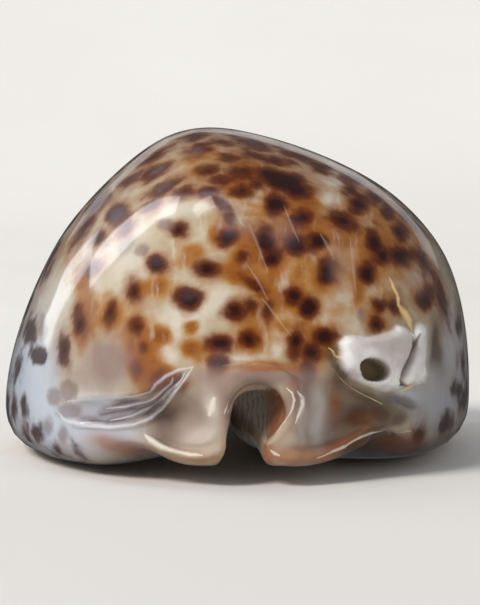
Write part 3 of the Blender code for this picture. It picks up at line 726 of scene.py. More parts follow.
# Softer clouds: x, y, half width, half height, strength, and tilt if any
clouds = dict(
    ochre=(
        (182, 261.5, 10, 8, 0.7), (196, 251, 11, 8, 0.7), (236, 272, 15, 12, 1), (153, 287, 17, 10, 0.8),
        (244, 173, 16, 10, 1), (240, 186, 13, 9, 1), (286, 196, 18, 12, 1), (308, 205, 10, 15, 1),
        (138, 352, 15, 28, 1, 5), (162, 336, 11, 8, 1, 20), (192, 327, 9, 6, 0.9, 20), (190, 348, 11, 9, 0.9),
        (341.5, 240, 10, 11, 0.8), (357, 288, 4.5, 16, 0.8), (300, 271, 4, 7, 0.7), (274, 272, 6, 16, 1, -5),
        (90, 313, 16, 20, 0.6), (80, 284, 9, 15, 0.7, 10), (249, 338, 17, 14, 1), (290, 299, 15, 13, 1),
        (283, 326, 6, 6, 0.7), (205, 355, 14, 14, 0.7), (337, 405.5, 8, 8, 0.5), (326, 228, 24, 10, 0.5),
        (300, 232, 20, 14, 0.9), (256, 250, 20, 18, 0.8), (222, 231, 16, 12, 0.7), (312, 345, 20, 20, 0.9),
        (360, 205, 12, 12, 0.6), (385, 250, 18, 12, 0.8), (384, 312, 14, 14, 0.55), (252, 320, 16, 10, 0.5),
        (148, 176, 14, 6, 0.4, 30), (200, 160, 20, 8, 0.4, 15), (172, 240, 14, 10, 0.3), (425, 298, 14, 12, 0.6),
        (262, 285, 16, 12, 0.6, -30), (84, 330, 11, 22, 0.6), (112, 316, 12, 14, 0.7), (326, 272, 12, 16, 0.7),
        (278, 235, 52, 56, 0.5), (285, 315, 46, 46, 0.3), (388, 240, 44, 54, 0.5), (350, 285, 60, 45, 0.3),
        (146, 356, 14, 26, 1, 5), (160, 374, 16, 9, 0.9), (178, 384, 14, 7, 0.6), (150, 310, 50, 50, 0.15),
        (225, 165, 60, 22, 0.35), (300, 378, 10, 12, 0.8), (262, 366, 30, 5, 0.7), (70, 250, 12, 20, 0.35, 30),
        (400, 215, 10, 14, 0.4, 40),
    ),
    # pale patches of the enamel, and painted highlights on the upper left of the dome
    pale=(
        (167, 352, 9, 12, 1, 30), (192, 208, 14, 8, 0.8, 10), (128, 268, 16, 22, 0.7), (178, 318, 26, 10, 0.7, 10),
        (213, 300, 18, 14, 0.6), (260, 205, 14, 9, 0.9), (255, 217, 10, 8, 0.7), (278, 340, 7, 17, 0.9, -12),
        (263, 327, 8, 12, 0.8), (325, 210, 7, 22, 0.7, -8), (386, 285, 16, 16, 0.6), (345, 300, 14, 20, 0.5),
        (333, 250, 7, 12, 0.5), (258, 274, 5, 8, 0.7), (277, 275, 5, 8, 0.8), (288, 272, 5, 8, 0.8),
        (244, 358, 20, 3.5, 0.9), (95, 292, 7, 20, 0.6, 10), (168, 213, 12, 6, 0.8, 25), (140, 232, 10, 8, 0.6),
        (337, 178, 9, 12, 0.7, -20), (232, 151, 22, 3, 0.4), (413, 282, 8, 12, 0.4), (234, 290, 16, 5, 0.7),
        (323, 320, 12, 8, 0.5), (348, 330, 12, 6, 0.5), (362, 232, 6, 18, 0.6),
    ),
    violet=(
        (125, 246, 11, 6, 0.8, 50), (117, 215, 9, 7, 0.75, 50), (208, 194, 9, 3, 0.7), (222, 205, 7, 6, 0.7, -45),
        (230, 224, 7, 12, 0.6, -10), (158, 170, 9, 3, 0.6, 30), (163, 187, 9, 3, 0.4, 30),
        (184, 196, 7, 2.5, 0.6, 10), (284, 233, 14, 14, 0.45), (247, 228, 12, 10, 0.5), (101, 199, 8, 4, 0.5, 50),
        (134, 178, 8, 2.5, 0.5, 33), (196, 151, 8, 3, 0.5, 18), (252, 143, 14, 3, 0.3, -15),
        (350, 178, 14, 4, 0.4, -25), (158, 262, 6, 5, 0.3), (188, 294, 7, 5, 0.3), (218, 358, 7, 5, 0.3),
    ),
    # bluish-white enamel laid thinly over the margins; beside the left collar the same paint is a painted highlight,
    # and on the right ear it is painted light that lifts the shade
    milkAndLight=(
        (40, 300, 30, 40, 0.45), (30, 380, 34, 60, 1), (60, 430, 46, 34, 1), (105, 410, 50, 16, 0.9),
        (105, 446, 50, 14, 0.7), (100, 370, 26, 20, 0.5), (445, 385, 26, 44, 0.8), (430, 410, 30, 34, 0.6),
        (455, 330, 12, 36, 0.6, 10), (405, 398, 16, 10, 0.8), (207, 412, 9, 26, 0.5), (318, 414, 14, 26, 0.7, 10),
        (110, 434, 40, 8, 0.8),
    ),
    # pinkish grey glaze round the canal
    rose=(
        (262, 377, 46, 10, 1), (218, 405, 20, 30, 0.9, 10), (180, 425, 40, 26, 0.8), (175, 400, 30, 20, 0.7, -30),
        (108, 362, 26, 26, 1), (80, 378, 22, 12, 0.5), (322, 425, 34, 26, 0.8), (355, 395, 24, 16, 0.4),
        (300, 400, 16, 22, 0.9), (90, 300, 6, 30, 0.25, 5), (205, 375, 14, 8, 0.6), (340, 265, 10, 20, 0.4),
        (410, 285, 20, 20, 0.3),
    ),
    # painted shade in greyish brown: at the fold, in the left ear's scoop, under the ears' rims and beside the wound,
    # partly over the base margin's own brown
    umberShade=(
        (165, 424, 12, 22, 0.45, 20), (345, 372, 12, 22, 0.8, -35), (330, 352, 8, 10, 0.7, -20),
        (366, 396, 22, 8, 0.7, -20), (438, 345, 6, 26, 0.9, 5), (361, 417, 20, 13, 1, 10), (385, 419, 18, 10, 0.6),
        (366, 432, 26, 6, 0.9, 18), (440, 400, 30, 50, 0.35), (368, 450, 34, 9, 0.8), (390, 405, 24, 10, 0.5, -20),
        (374, 446, 26, 8, 0.5), (440, 436, 30, 12, 0.3), (150, 445, 30, 6, 0.2, 20), (108, 442, 22, 10, 0.15, 10),
        (318, 392, 8, 12, 0.3), (395, 440, 12, 10, 0.5), (388, 450, 44, 10, 0.9), (368, 410, 22, 9, 0.6, -10),
        (180, 385, 10, 8, 0.3, 40),
    ),
    # pale streaks on the ears, painted lighter to lift their shade, and a painted highlight beside the left collar
    paleStreaksAndLight=(
        (305, 424, 5, 20, 0.7), (319, 414, 8, 27, 0.95, 4), (200, 436, 20, 12, 0.6, 10), (211, 407, 8, 16, 0.7, 10),
        (290, 440, 10, 10, 0.4),
    ),
    # painted shade in greyish pink over the upper part of the wound's callus, which leaves its lower left lit; partly
    # its own tint
    plateShade=(
        (386, 345, 26, 11, 0.9, -10), (406, 348, 6, 16, 0.7), (400, 368, 5, 10, 0.5), (426, 340, 4, 14, 0.5),
    ),
    # reddish brown and orange at the tips and under the edges
    amber=(
        (292, 456, 32, 8, 0.75), (338, 448, 28, 6, 0.7, 28), (268, 450, 5, 20, 0.8), (215, 459, 24, 5, 0.45),
        (226, 445, 4, 20, 0.6), (116, 446, 26, 9, 0.75, -15), (150, 456, 26, 6, 0.7, -15),
        (162, 386, 8, 6, 0.6, 35), (280, 420, 12, 20, 0.45), (334, 404, 6, 17, 0.5, 5), (397, 447, 20, 9, 0.5),
        (358, 418, 18, 9, 0.3), (268, 369, 36, 2.5, 0.7), (64, 448, 6, 8, 0.3, 30), (400, 446, 26, 8, 0.4),
        (292, 393, 6, 18, 0.2), (145, 362, 14, 26, 0.2, 5),
    ),
)


# How spots and clouds lie: millimetres to a pixel, and slow waves that keep any outline from being a plain oval
marks = dict(
    outside=-3.0, pixel=0.098, cloudCore=1.35, waveSize=2.6, waveReach=2.2, waveSeeds=(11.0, 27.0),
    spotsEnd=(0.04, 0.16), marginDown=(-13.0, -4.0), marginOut=(14, 22), marginAlong=0.25,
    underTurn=(0.35, 0.85), underBelow=9, callusEdge=(-2.5, 0.5), finEdge=(-2.0, 0.8), holeEdge=(-2.2, 0.2),
    crackDark=0.9,
)
# Inside the canal: brown at its right wall, grey ribs at the back of it, and painted shade below and deep inside
mouth = dict(
    wall=(262, 272), darkEdge=((220, 404), (232, 411), (247, 424), (260, 434), (270, 441)), darkSoft=(-2, 4),
    opening=(
        (232, 412), (235, 404), (240, 397), (247, 392), (256, 388.5), (268, 387.5), (279, 388.5), (286, 391.5),
        (289, 397), (292, 404), (290.5, 413), (284, 422), (276, 434), (268, 440), (256, 434), (244, 424),
    ),
    openingSoft=(-1.0, 1.5), fromFront=(22, 27), insideGrowth=3, deep=(-3, 8), frontOf=10, facing=-0.2,
)


def spotField(place, ovals):
    # millimetres inside the nearest spot, negative outside
    field = np.full(len(place), marks["outside"])
    for oval in ovals:
        field = np.maximum(field, ovalField(place, oval) * marks["pixel"])
    return np.where(lining, marks["outside"], field)


def cloudField(place, ovals):
    clear = np.ones(len(place))
    for x, y, wide, high, strength, *tilt in ovals:
        clear *= 1 - strength * np.clip(marks["cloudCore"] * softOval(place, (x, y, wide, high, *tilt)), 0, 1)
    return 1 - clear


shove = np.stack([unevenness(points, marks["waveSize"], seed) for seed in marks["waveSeeds"]], 1)
loose = place + marks["waveReach"] * shove
seen = np.maximum(skinSeen, lining)
besideWound = skinSeen * besideWound
outwards = np.abs(points[:, 0]) + marks["marginAlong"] * np.abs(points[:, 1])
underTurn = ease(-normals[:, 2], *marks["underTurn"]) * (points[:, 2] < marks["underBelow"])
inOpening = ease(areaField(place, mouth["opening"]), *mouth["openingSoft"])
atMouth = ease(-points[:, 1], *mouth["fromFront"]) * lining
inside = readLayer(shellPiece, "inside")
nearFront = points[:, 1] < mouth["frontOf"]
mouthAmber = lining * ease(place[:, 0], *mouth["wall"]) * nearFront
belowEdge = place[:, 1] - np.interp(place[:, 0], *np.array(mouth["darkEdge"]).T)
# painted shade below the edge of the canal's back wall, and deeper inside
mouthShade = np.maximum(
    ease(belowEdge, *mouth["darkSoft"]) * (1 - mouthAmber), ease(points[:, 1], *mouth["deep"]),
)
layers = dict(
    darkMark=spotField(loose, [oval for group in spots.values() for oval in group]),
    faintMark=spotField(loose, faintSpots),
    seen=seen,
    # the photograph's spots end a little before its horizon, so that they aren't drawn out lengthwise
    spotSeen=np.maximum(skinSeen * ease(facing, *marks["spotsEnd"]), lining),
    margin=ease(-points[:, 2], *marks["marginDown"]) * ease(outwards, *marks["marginOut"]) * ~lining,
    underside=underTurn * ~lining * (1 - skinSeen),
    toothGap=toothGaps,
    trough=inFold * skinSeen,
    callus=np.maximum(ease(onPlate, *marks["callusEdge"]), ease(onFin, *marks["finEdge"])) * besideWound,
    # the crack is darkened as painted shade
    hole=np.maximum(ease(inHole, *marks["holeEdge"]), marks["crackDark"] * inCrack) * besideWound,
    inside=inside * (1 - atMouth) + np.minimum(inside * mouth["insideGrowth"], 1) * inOpening * atMouth,
    mouthAmber=mouthAmber,
    mouthShade=mouthShade * lining * (facing > mouth["facing"]) * nearFront,
)
for label, field in clouds.items():
    layers[label] = cloudField(loose, field) * (seen if label == "rose" else skinSeen)
for label, values in layers.items():
    writeLayer(shellPiece, label, values)
inPhoto = shellPiece.data.attributes.new("inPhoto", "FLOAT_VECTOR", "POINT")
inPhoto.data.foreach_set("vector", np.pad(place, ((0, 0), (0, 1))).astype(np.float32).ravel())
print("markings laid")


# Strokes thinner than the mesh's cells, each with its strength and paint: x, y and half width of every point
strokes = dict(
    hair=(0.18, "pale", (
        ((249, 224, 0.5), (257, 243, 1.8), (268, 272, 0.6)),
        ((284, 206, 0.5), (291, 224, 1.6), (299, 242, 0.5)),
        ((320, 234, 0.6), (328, 246, 2), (334, 259, 0.7)),
        ((350, 238, 0.5), (353, 264, 1.8), (356, 293, 0.6)),
        ((229, 199, 0.6), (237, 214, 2), (244, 227, 0.6)),
        ((262, 298, 0.5), (276, 316, 1.8), (291, 336, 0.6)),
        ((246, 262, 0.5), (258, 281, 1.7), (268, 300, 0.5)),
    )),
    # painted highlights along the fold's edges and streaks
    fold=(0.62, "glint", (
        ((64, 402, 0.5), (80, 400, 1.7), (112, 398.5, 2), (134, 395.5, 1.8), (150, 390, 0.8)),
        ((150, 391, 0.8), (156, 384, 1.7), (166, 376.5, 2), (178, 370.5, 1.8), (193, 366.5, 0.6)),
        ((56, 411, 0.5), (66, 420, 1.2), (86, 425, 1.7), (111, 427, 2), (134, 425, 2)),
        ((134, 425, 2), (151, 418, 1.8), (164, 405, 1.8), (176, 391, 1.7), (186, 378, 1.6), (193, 366.5, 0.6)),
        ((186, 371, 0.6), (177, 384, 1.5), (165, 397, 1.6), (151, 409, 1.6), (132, 416, 1.2), (108, 421, 0.5)),
        ((172, 377, 0.5), (170, 385, 1.3), (160, 394, 1.3), (146, 403, 1.3), (128, 407, 1), (104, 409, 0.4)),
    )),
    foldShade=(0.6, "dusk", (
        ((181, 373, 0.8), (173, 386, 2.2), (160, 400, 2.4), (144, 411, 2.2), (126, 418, 1)),
        ((166, 381, 1), (160, 388, 2.4), (153, 393, 1)),
        ((140, 401, 0.8), (124, 403, 2.4), (110, 406, 0.8)),
        ((136, 409, 0.8), (118, 412, 2.2), (96, 415, 0.8)),
        ((124, 420, 0.8), (106, 422, 2.2), (86, 420, 0.8)),
    )),
    # painted highlights along the ears' rims and the collar's ridges, beside the left collar and on the right foot's
    # tip
    rims=(0.8, "sheen", (
        ((145, 435, 1), (152, 441, 3.4), (162, 447, 3), (176, 451, 2), (190, 454, 1.8), (203, 455, 0.6)),
        ((316, 457, 0.6), (330, 452, 1.4), (345, 446, 1.7), (359, 438, 1.7), (371, 434, 2), (384, 432, 0.7)),
        ((385, 434, 1.2), (390, 436, 2.6), (393, 433, 0.8)),
        ((286, 388, 0.5), (292, 393, 1.3), (294.5, 400, 1.5), (292.5, 408, 1.4), (288.5, 416, 0.6)),
        ((297.5, 391, 0.5), (302.5, 398, 1.3), (302.5, 406, 1.4), (299, 414, 1.2), (295, 423, 0.8)),
        ((213.5, 399, 2.4), (210.5, 408, 4.6), (208.5, 415, 1.8)),
        ((228, 403, 0.5), (225.5, 410, 1.1), (224, 414, 0.4)),
        ((231.5, 404, 0.5), (229, 411, 0.9), (227.5, 414, 0.3)),
        ((271, 450, 0.8), (274.5, 453, 1.8), (279, 455, 0.8)),
        ((290, 414, 0.4), (284, 422, 0.8), (276, 433, 0.5)),
    )),
    # painted golden highlights along the seam above the wound and the brim below it, and small ones near the fin's foot
    # and on the right rim
    seam=(0.95, "goldHighlight", (
        (
            (389, 277, 0.5), (393, 287, 1.3), (397, 295, 1.2), (398.5, 305, 1.5), (403, 312, 3), (408, 320, 2.8),
            (412, 331, 0.8),
        ),
        ((328, 348, 0.5), (334, 352, 1.3), (341, 358, 0.6)),
        ((333, 364, 0.4), (342, 376, 1), (352, 387, 0.8), (366, 396, 1), (382, 404, 0.5)),
        ((401, 391, 0.5), (408, 388, 1.6), (414, 385, 0.5)),
        ((396, 433, 0.3), (411, 431, 0.5)),
    )),
    # painted shade in the crack beside the fin
    cracks=(0.8, "pit", (
        (
            (417, 334, 0.7), (414, 346, 1.4), (408, 359, 1.5), (401.5, 369, 1.8), (399, 377, 1.8), (403, 384, 1.2),
            (409, 387, 0.5),
        ),
    )),
)


# Shell material. Everything in it is read from the shell's own attributes and object coordinates.
def fromScreen(red, green, blue):
    # a colour as it is seen, made linear
    return tuple(((c / 255 + 0.055) / 1.055) ** 2.4 if c > 10 else c / 255 / 12.92 for c in (red, green, blue)) + (1.0,)


enamel = {name: fromScreen(*colour) for name, colour in dict(
    cream=(196, 182, 156), sand=(174, 150, 122), pale=(216, 208, 192), ochre=(142, 78, 24), honey=(172, 120, 60),
    halo=(92, 37, 8), chestnut=(50, 15, 6), plum=(46, 17, 18), violet=(128, 115, 124), milkAndLight=(202, 213, 228),
    slate=(74, 60, 52), mauve=(122, 98, 94), wall=(128, 82, 58), rose=(148, 124, 115), umberShade=(66, 44, 28),
    paleStreaksAndLight=(224, 214, 202), amber=(162, 84, 34), plateShade=(196, 178, 172), callus=(246, 243, 240),
    callusShade=(214, 204, 200), pit=(104, 88, 62), goldHighlight=(234, 200, 142), glint=(226, 226, 232),
    sheen=(240, 230, 216), dusk=(104, 86, 88), base=(200, 188, 172), gap=(96, 56, 34), lining=(134, 126, 112),
    deep=(20, 15, 12), rib=(58, 50, 46),
).items()}
black = (0.0, 0.0, 0.0, 1.0)
# Grains: scale, detail and stretch
grains = dict(
    cloudy=(190, 3.0), patchy=(110, 2.0, (1.0, 0.7, 1.0)), streaky=(900, 3.0, (1.0, 0.1, 0.35)), mottled=(520, 4.0),
    growth=(700, 3.0, (0.3, 1.0, 0.3)),
)
# Where one tone gives way to the next, and between which shares
turns = dict(
    sand=(0.35, 0.7), backClouds=(0.44, 0.62), honey=(0.05, 0.7), ochre=(0.45, 1.1), streaks=(0.52, 0.78, 0.0, 0.5),
    plum=(0.4, 0.6), milkAndLight=(0.2, 0.6, 0.75, 1.0), callus=(0.35, 0.75), ribs=(-0.4, 1.0),
    ribDepth=(0.35, 0.65, 0.15, 0.55), roughness=(0.3, 0.7, 0.3, 0.42),
)
# How strongly each thin layer covers what is under it
cover = dict(
    backClouds=0.85, mottling=0.9, halo=0.6, body=0.9, violet=0.6, backMilk=0.8, milkAndLight=0.86, slate=0.95, rose=0.88,
    mauve=0.6, umberShade=0.88, paleStreaksAndLight=0.75, trough=0.4, amber=0.8, plateShade=0.8, callus=1.0, hole=1.0, underside=0.9,
    toothGap=0.8, mouthAmber=1.0, mouthShade=1.0, pale=1.0,
)
spotEdge = dict(coarse=(620, 2.0), fine=(2300, 3.0, (1.0, 0.5, 1.0)), fineShare=0.16, darkUneven=1.0, faintUneven=0.6)
spotSteps = dict(Core=(-0.02, 0.62), Body=(-0.42, 0.12), Halo=(-0.95, -0.1))
# Scale, size and share of empty cells of the large spots and of the small ones
backSpots = dict(
    cells=((235, 0.34, 0.12), (350, 0.26, 0.45)), stretch=(1.0, 0.82, 1.0), smoothness=0.25, vary=0.2, soft=0.08,
)
brush = dict(edge=(1.5, 0.1), wobbleScale=900.0, wobble=2.2)
ribs = dict(pitch=0.00046, bend=14.0)
bumps = dict(growth=0.6, mottled=0.4, strength=0.25, depth=0.00006)
# the coat's gloss, and a faint glow of the lining, which is painted light
glossAndGlow = {
    "Emission Strength": 0.2, "Specular IOR Level": 0.2, "Coat Weight": 1.0, "Coat Roughness": 0.075,
    "Subsurface Weight": 0.08, "Subsurface Radius": (0.0012, 0.0007, 0.0004), "Subsurface Scale": 1.0,
}
work = dict(tree=None)  # the node tree that is being built


def addNode(kind, sources=None, **settings):
    made = work["tree"].nodes.new(kind)
    for name, value in settings.items():
        setattr(made, name, value)
    for socket, source in (sources or {}).items():
        feed(made.inputs[socket], source)
    return made


def feed(socket, source):
    # a plain value is set, and a socket is linked
    if isinstance(source, bpy.types.NodeSocket):
        work["tree"].links.new(source, socket)
    else:
        socket.default_value = source


def calculate(operation, *sources):
    return addNode("ShaderNodeMath", dict(enumerate(sources)), operation=operation).outputs[0]


def times(first, second):
    return calculate("MULTIPLY", first, second)


def arrow(operation, *sources):
    # vector arithmetic; a distance or dot product comes out as a plain value
    sockets = (0, 3) if operation == "SCALE" else (0, 1)
    made = addNode("ShaderNodeVectorMath", dict(zip(sockets, sources)), operation=operation)
    return made.outputs["Value" if operation in ("DISTANCE", "DOT_PRODUCT") else "Vector"]


def step(value, start, end, low=0.0, high=1.0):
    # smooth step from one value to another
    sources = {"Value": value, "From Min": start, "From Max": end, "To Min": low, "To Max": high}
    return addNode("ShaderNodeMapRange", sources, interpolation_type="SMOOTHSTEP").outputs["Result"]


def blendColour(share, under, over):
    return addNode("ShaderNodeMix", {0: share, 6: under, 7: over}, data_type="RGBA").outputs[2]


def layerValue(label):
    return addNode("ShaderNodeAttribute", attribute_name=label).outputs["Fac"]


def wash(colour, label, paint=None):
    # a thin layer where the shell's own attribute says
    return blendColour(times(layerValue(label), cover[label]), colour, paint or enamel[label])


def grainOf(place, scale, detail, stretch=None):
    if stretch:
        place = addNode("ShaderNodeMapping", {"Vector": place, "Scale": stretch}).outputs["Vector"]
    return addNode("ShaderNodeTexNoise", {"Vector": place, "Scale": scale, "Detail": detail}).outputs["Fac"]


def startGroup(name, inputs, outputs):
    # a node group with named sockets, which is the tree that is built from here on
    group = work["tree"] = bpy.data.node_groups.new(name, "ShaderNodeTree")
    for label, kind in inputs.items():
        group.interface.new_socket(label, in_out="INPUT", socket_type="NodeSocket" + kind)
    for label in outputs:
        group.interface.new_socket(label, in_out="OUTPUT", socket_type="NodeSocketFloat")
    return group, addNode("NodeGroupInput").outputs, addNode("NodeGroupOutput").inputs


def placeGroup(group, **sources):
    return addNode("ShaderNodeGroup", sources, node_tree=group).outputs


def spotEdgeGroup():
    # turns millimetres inside a spot into a core, a body and a halo with uneven, soft edges
    kinds = dict(Place="Vector", Inside="Float", Unevenness="Float")
    group, given, out = startGroup("spotEdge", kinds, ("Core", "Body", "Halo"))
    coarse = grainOf(given["Place"], *spotEdge["coarse"])
    fine = grainOf(given["Place"], *spotEdge["fine"])
    shift = calculate("MULTIPLY_ADD", calculate("SUBTRACT", coarse, 0.5), given["Unevenness"], given["Inside"])
    shift = calculate("MULTIPLY_ADD", calculate("SUBTRACT", fine, 0.5), spotEdge["fineShare"], shift)
    for label, turn in spotSteps.items():
        feed(out[label], step(shift, *turn))
    return group


def backSpotsGroup():
    # spots for the sides that the photograph doesn't show: one in most cells of a loose pattern
    group, given, out = startGroup("backSpots", dict(Place="Vector"), ("Inside",))
    fields = []
    vary, soft = backSpots["vary"], backSpots["soft"]
    for scale, size, empty in backSpots["cells"]:
        mapped = addNode("ShaderNodeMapping", {"Vector": given["Place"], "Scale": backSpots["stretch"]}).outputs[0]
        sources = {"Vector": mapped, "Scale": scale, "Smoothness": backSpots["smoothness"]}
        cells = addNode("ShaderNodeTexVoronoi", sources, feature="SMOOTH_F1").outputs
        tint = addNode("ShaderNodeSeparateColor", {0: cells["Color"]}).outputs
        radius = calculate("MULTIPLY_ADD", tint[0], vary, size - vary / 2)
        radius = calculate("SUBTRACT", radius, step(tint[1], empty + soft, empty - soft))
        fields.append(times(calculate("SUBTRACT", radius, cells["Distance"]), 1000 / scale))
    feed(out["Inside"], calculate("MAXIMUM", *fields))
    return group


def strokeGroup():
    # one straight piece of a stroke, whose half width grows along it
    kinds = dict(Place="Vector", From="Vector", Along="Vector", Share="Vector", Width="Float", Growth="Float")
    group, given, out = startGroup("stroke", kinds, ("Mask",))
    away = arrow("SUBTRACT", given["Place"], given["From"])
    # a Clamp node, because a Math node that clamps runs Cycles out of stack when the group is repeated
    share = addNode("ShaderNodeClamp", {"Value": arrow("DOT_PRODUCT", away, given["Share"])}).outputs["Result"]
    off = arrow("DISTANCE", away, arrow("SCALE", given["Along"], share))
    width = calculate("MULTIPLY_ADD", share, given["Growth"], given["Width"])
    feed(out["Mask"], step(calculate("DIVIDE", off, width), *brush["edge"]))
    return group


def strokeMask(group, place, paths):
    mask = None
    for path in paths:
        for (x, y, width), (nextX, nextY, nextWidth) in zip(path, path[1:]):
            along = Vector((nextX - x, nextY - y, 0.0))
            made = placeGroup(
                group, Place=place, From=(x, y, 0.0), Along=along, Share=along / along.length_squared,
                Width=width, Growth=nextWidth - width,
            )["Mask"]
            mask = made if mask is None else calculate("MAXIMUM", mask, made)
    return mask


def shellEnamel():
    edges, looseSpots, stroke = spotEdgeGroup(), backSpotsGroup(), strokeGroup()
    material = bpy.data.materials.new("spottedEnamel")
    material.use_nodes = True
    work["tree"] = material.node_tree
    finish = material.node_tree.nodes["Principled BSDF"]
    place = addNode("ShaderNodeTexCoord").outputs["Object"]
    seen = layerValue("seen")
    hidden = calculate("SUBTRACT", 1.0, seen)
    cloudy, patchy, streaky, mottled, growth = (grainOf(place, *grain) for grain in grains.values())

    # ground: cream and sand, with ochre clouds
    colour = blendColour(step(cloudy, *turns["sand"]), enamel["cream"], enamel["sand"])
    # pale patches, and painted highlights on the upper left of the dome
    colour = wash(colour, "pale")
    backClouds = times(step(patchy, *turns["backClouds"]), times(hidden, cover["backClouds"]))
    ochre = calculate("MAXIMUM", layerValue("ochre"), backClouds)
    tone = calculate("MULTIPLY_ADD", calculate("SUBTRACT", mottled, 0.5), cover["mottling"], ochre)
    for source, label, paint in ((tone, "honey", "honey"), (tone, "ochre", "ochre"), (streaky, "streaks", "pale")):
        colour = blendColour(step(source, *turns[label]), colour, enamel[paint])

    # dark spots, with the ones from the photograph in front and loose ones behind
    backMarks = placeGroup(looseSpots, Place=place)["Inside"]
    marksInside = addNode(
        "ShaderNodeMix", {0: layerValue("spotSeen"), 2: backMarks, 3: layerValue("darkMark")}, data_type="FLOAT",
    ).outputs[0]
    dark = placeGroup(edges, Place=place, Inside=marksInside, Unevenness=spotEdge["darkUneven"])
    faint = placeGroup(edges, Place=place, Inside=layerValue("faintMark"), Unevenness=spotEdge["faintUneven"])
    marked = calculate("SUBTRACT", 1.0, calculate("MAXIMUM", layerValue("underside"), layerValue("inside")))
    colour = blendColour(times(dark["Halo"], times(marked, cover["halo"])), colour, enamel["ochre"])
    colour = blendColour(times(dark["Body"], times(marked, cover["body"])), colour, enamel["halo"])
    core = blendColour(step(mottled, *turns["plum"]), enamel["chestnut"], enamel["plum"])
    colour = blendColour(times(dark["Core"], marked), colour, core)
    colour = wash(colour, "violet")

    # strokes follow the photograph's frame, a little unevenly
    wobble = addNode("ShaderNodeTexNoise", {"Vector": place, "Scale": brush["wobbleScale"]}).outputs["Color"]
    wobble = arrow("SCALE", arrow("SUBTRACT", wobble, (0.5, 0.5, 0.5)), brush["wobble"])
    inPhoto = arrow("ADD", addNode("ShaderNodeAttribute", attribute_name="inPhoto").outputs["Vector"], wobble)

    def drawStrokes(colour, *labels):
        for label in labels:
            strength, paint, paths = strokes[label]
            mask = times(strokeMask(stroke, inPhoto, paths), strength)
            colour = blendColour(times(mask, seen), colour, enamel[paint])
        return colour

    colour = drawStrokes(colour, "hair")

    # thin enamel over the margins, with the spots showing grey through it; on the ears the same paint is painted light
    # and a painted highlight
    backMilk = times(layerValue("margin"), times(hidden, cover["backMilk"]))
    milkAndLight = times(calculate("MAXIMUM", layerValue("milkAndLight"), backMilk), step(cloudy, *turns["milkAndLight"]))
    veiled = blendColour(times(milkAndLight, cover["milkAndLight"]), colour, enamel["milkAndLight"])
    veiled = blendColour(times(dark["Body"], times(marked, cover["slate"])), veiled, enamel["slate"])
    colour = blendColour(milkAndLight, colour, veiled)
    colour = wash(colour, "rose")
    colour = blendColour(times(faint["Body"], times(seen, cover["mauve"])), colour, enamel["mauve"])
    # painted shade in greyish brown, then painted light and pale streaks on the ears
    colour = wash(wash(colour, "umberShade"), "paleStreaksAndLight")
    colour = wash(wash(colour, "trough", enamel["violet"]), "amber")
    # painted shade and painted highlights along the fold, and painted highlights on the rims and the collar
    colour = drawStrokes(colour, "foldShade", "fold", "rims")

    # the wound's callus, with painted shade over its upper part, and its hole
    callus = blendColour(step(mottled, *turns["callus"]), enamel["callus"], enamel["callusShade"])
    colour = wash(colour, "callus", wash(callus, "plateShade"))
    colour = wash(colour, "hole", enamel["pit"])
    # painted shade in the crack, and painted golden highlights along the seam and the brim
    colour = drawStrokes(colour, "cracks", "seam")

    # underside, teeth and lining
    colour = wash(colour, "underside", enamel["base"])
    colour = wash(colour, "toothGap", enamel["gap"])
    sideways = addNode("ShaderNodeSeparateXYZ", {0: place}).outputs[0]
    ribTurn = calculate("MULTIPLY_ADD", sideways, 2 * math.pi / ribs["pitch"], times(cloudy, ribs["bend"]))
    ribShare = times(step(calculate("SINE", ribTurn), *turns["ribs"]), step(mottled, *turns["ribDepth"]))
    inner = blendColour(ribShare, enamel["lining"], enamel["rib"])
    # painted shade at the back of the canal and deep inside it
    inner = wash(wash(inner, "mouthAmber", enamel["wall"]), "mouthShade", enamel["deep"])
    inside = layerValue("inside")
    colour = blendColour(inside, colour, inner)

    height = calculate("ADD", times(growth, bumps["growth"]), times(mottled, bumps["mottled"]))
    bump = addNode("ShaderNodeBump", {"Height": height, "Strength": bumps["strength"], "Distance": bumps["depth"]})
    # the lining's colour also glows faintly, as painted light
    sources = {
        "Base Color": colour, "Emission Color": blendColour(inside, black, inner), "Normal": bump.outputs["Normal"],
        "Roughness": step(mottled, *turns["roughness"]),
    }
    for socket, source in (sources | glossAndGlow).items():
        feed(finish.inputs[socket], source)
    return material


shellPiece.data.materials.clear()
shellPiece.data.materials.append(shellEnamel())
print("enamel mixed")

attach(shellPiece, "root")
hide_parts("shell")


# Floor with a backdrop that curves up far behind, lights and camera
studio = dict(
    wide=3.0, front=-0.9, back=0.75, rise=1.1, curve=0.35, gap=0.00005, cells=(24, 96),
    floorColours=(fromScreen(228, 226, 222), fromScreen(223, 220, 215)), floorGrain=(6.0, 4.0), floorTurn=(0.3, 0.7),
    floorRoughness=0.85, worldColour=(0.88, 0.93, 1.0, 1.0), worldStrength=0.42, mirroredStrength=0.06,
    sun=dict(strength=2.45, angle=22.0, around=-52.0, height=44.0, colour=(1.0, 0.975, 0.94)), exposure=0.0,
    # place, size, power, colour and whether the shell mirrors it; all are aimed at the shell's middle
    lights=dict(
        windowLeft=((-0.325, 0.365, 0.150), (0.09, 0.15), 0.09, (0.86, 0.93, 1.0), True),
        skyLeft=((-0.289, 0.234, 0.335), (0.08, 0.30), 0.3, (0.97, 0.96, 1.0), True),
        topSoft=((-0.05, 0.10, 0.50), (0.14, 0.07), 0.09, (1.0, 0.98, 0.96), True),
        rimBehind=((0.04, 0.60, 0.16), (0.60, 0.08), 0.06, (0.96, 0.98, 1.0), True),
        softFill=((0.42, -0.36, 0.16), (0.35, 0.35), 0.34, (1.0, 1.0, 1.0), False),
    ),
    aim=(0.0, -0.01, 0.012), cameraClip=0.01,
)
floorPiece = addGrid("paleFloor", *studio["cells"])
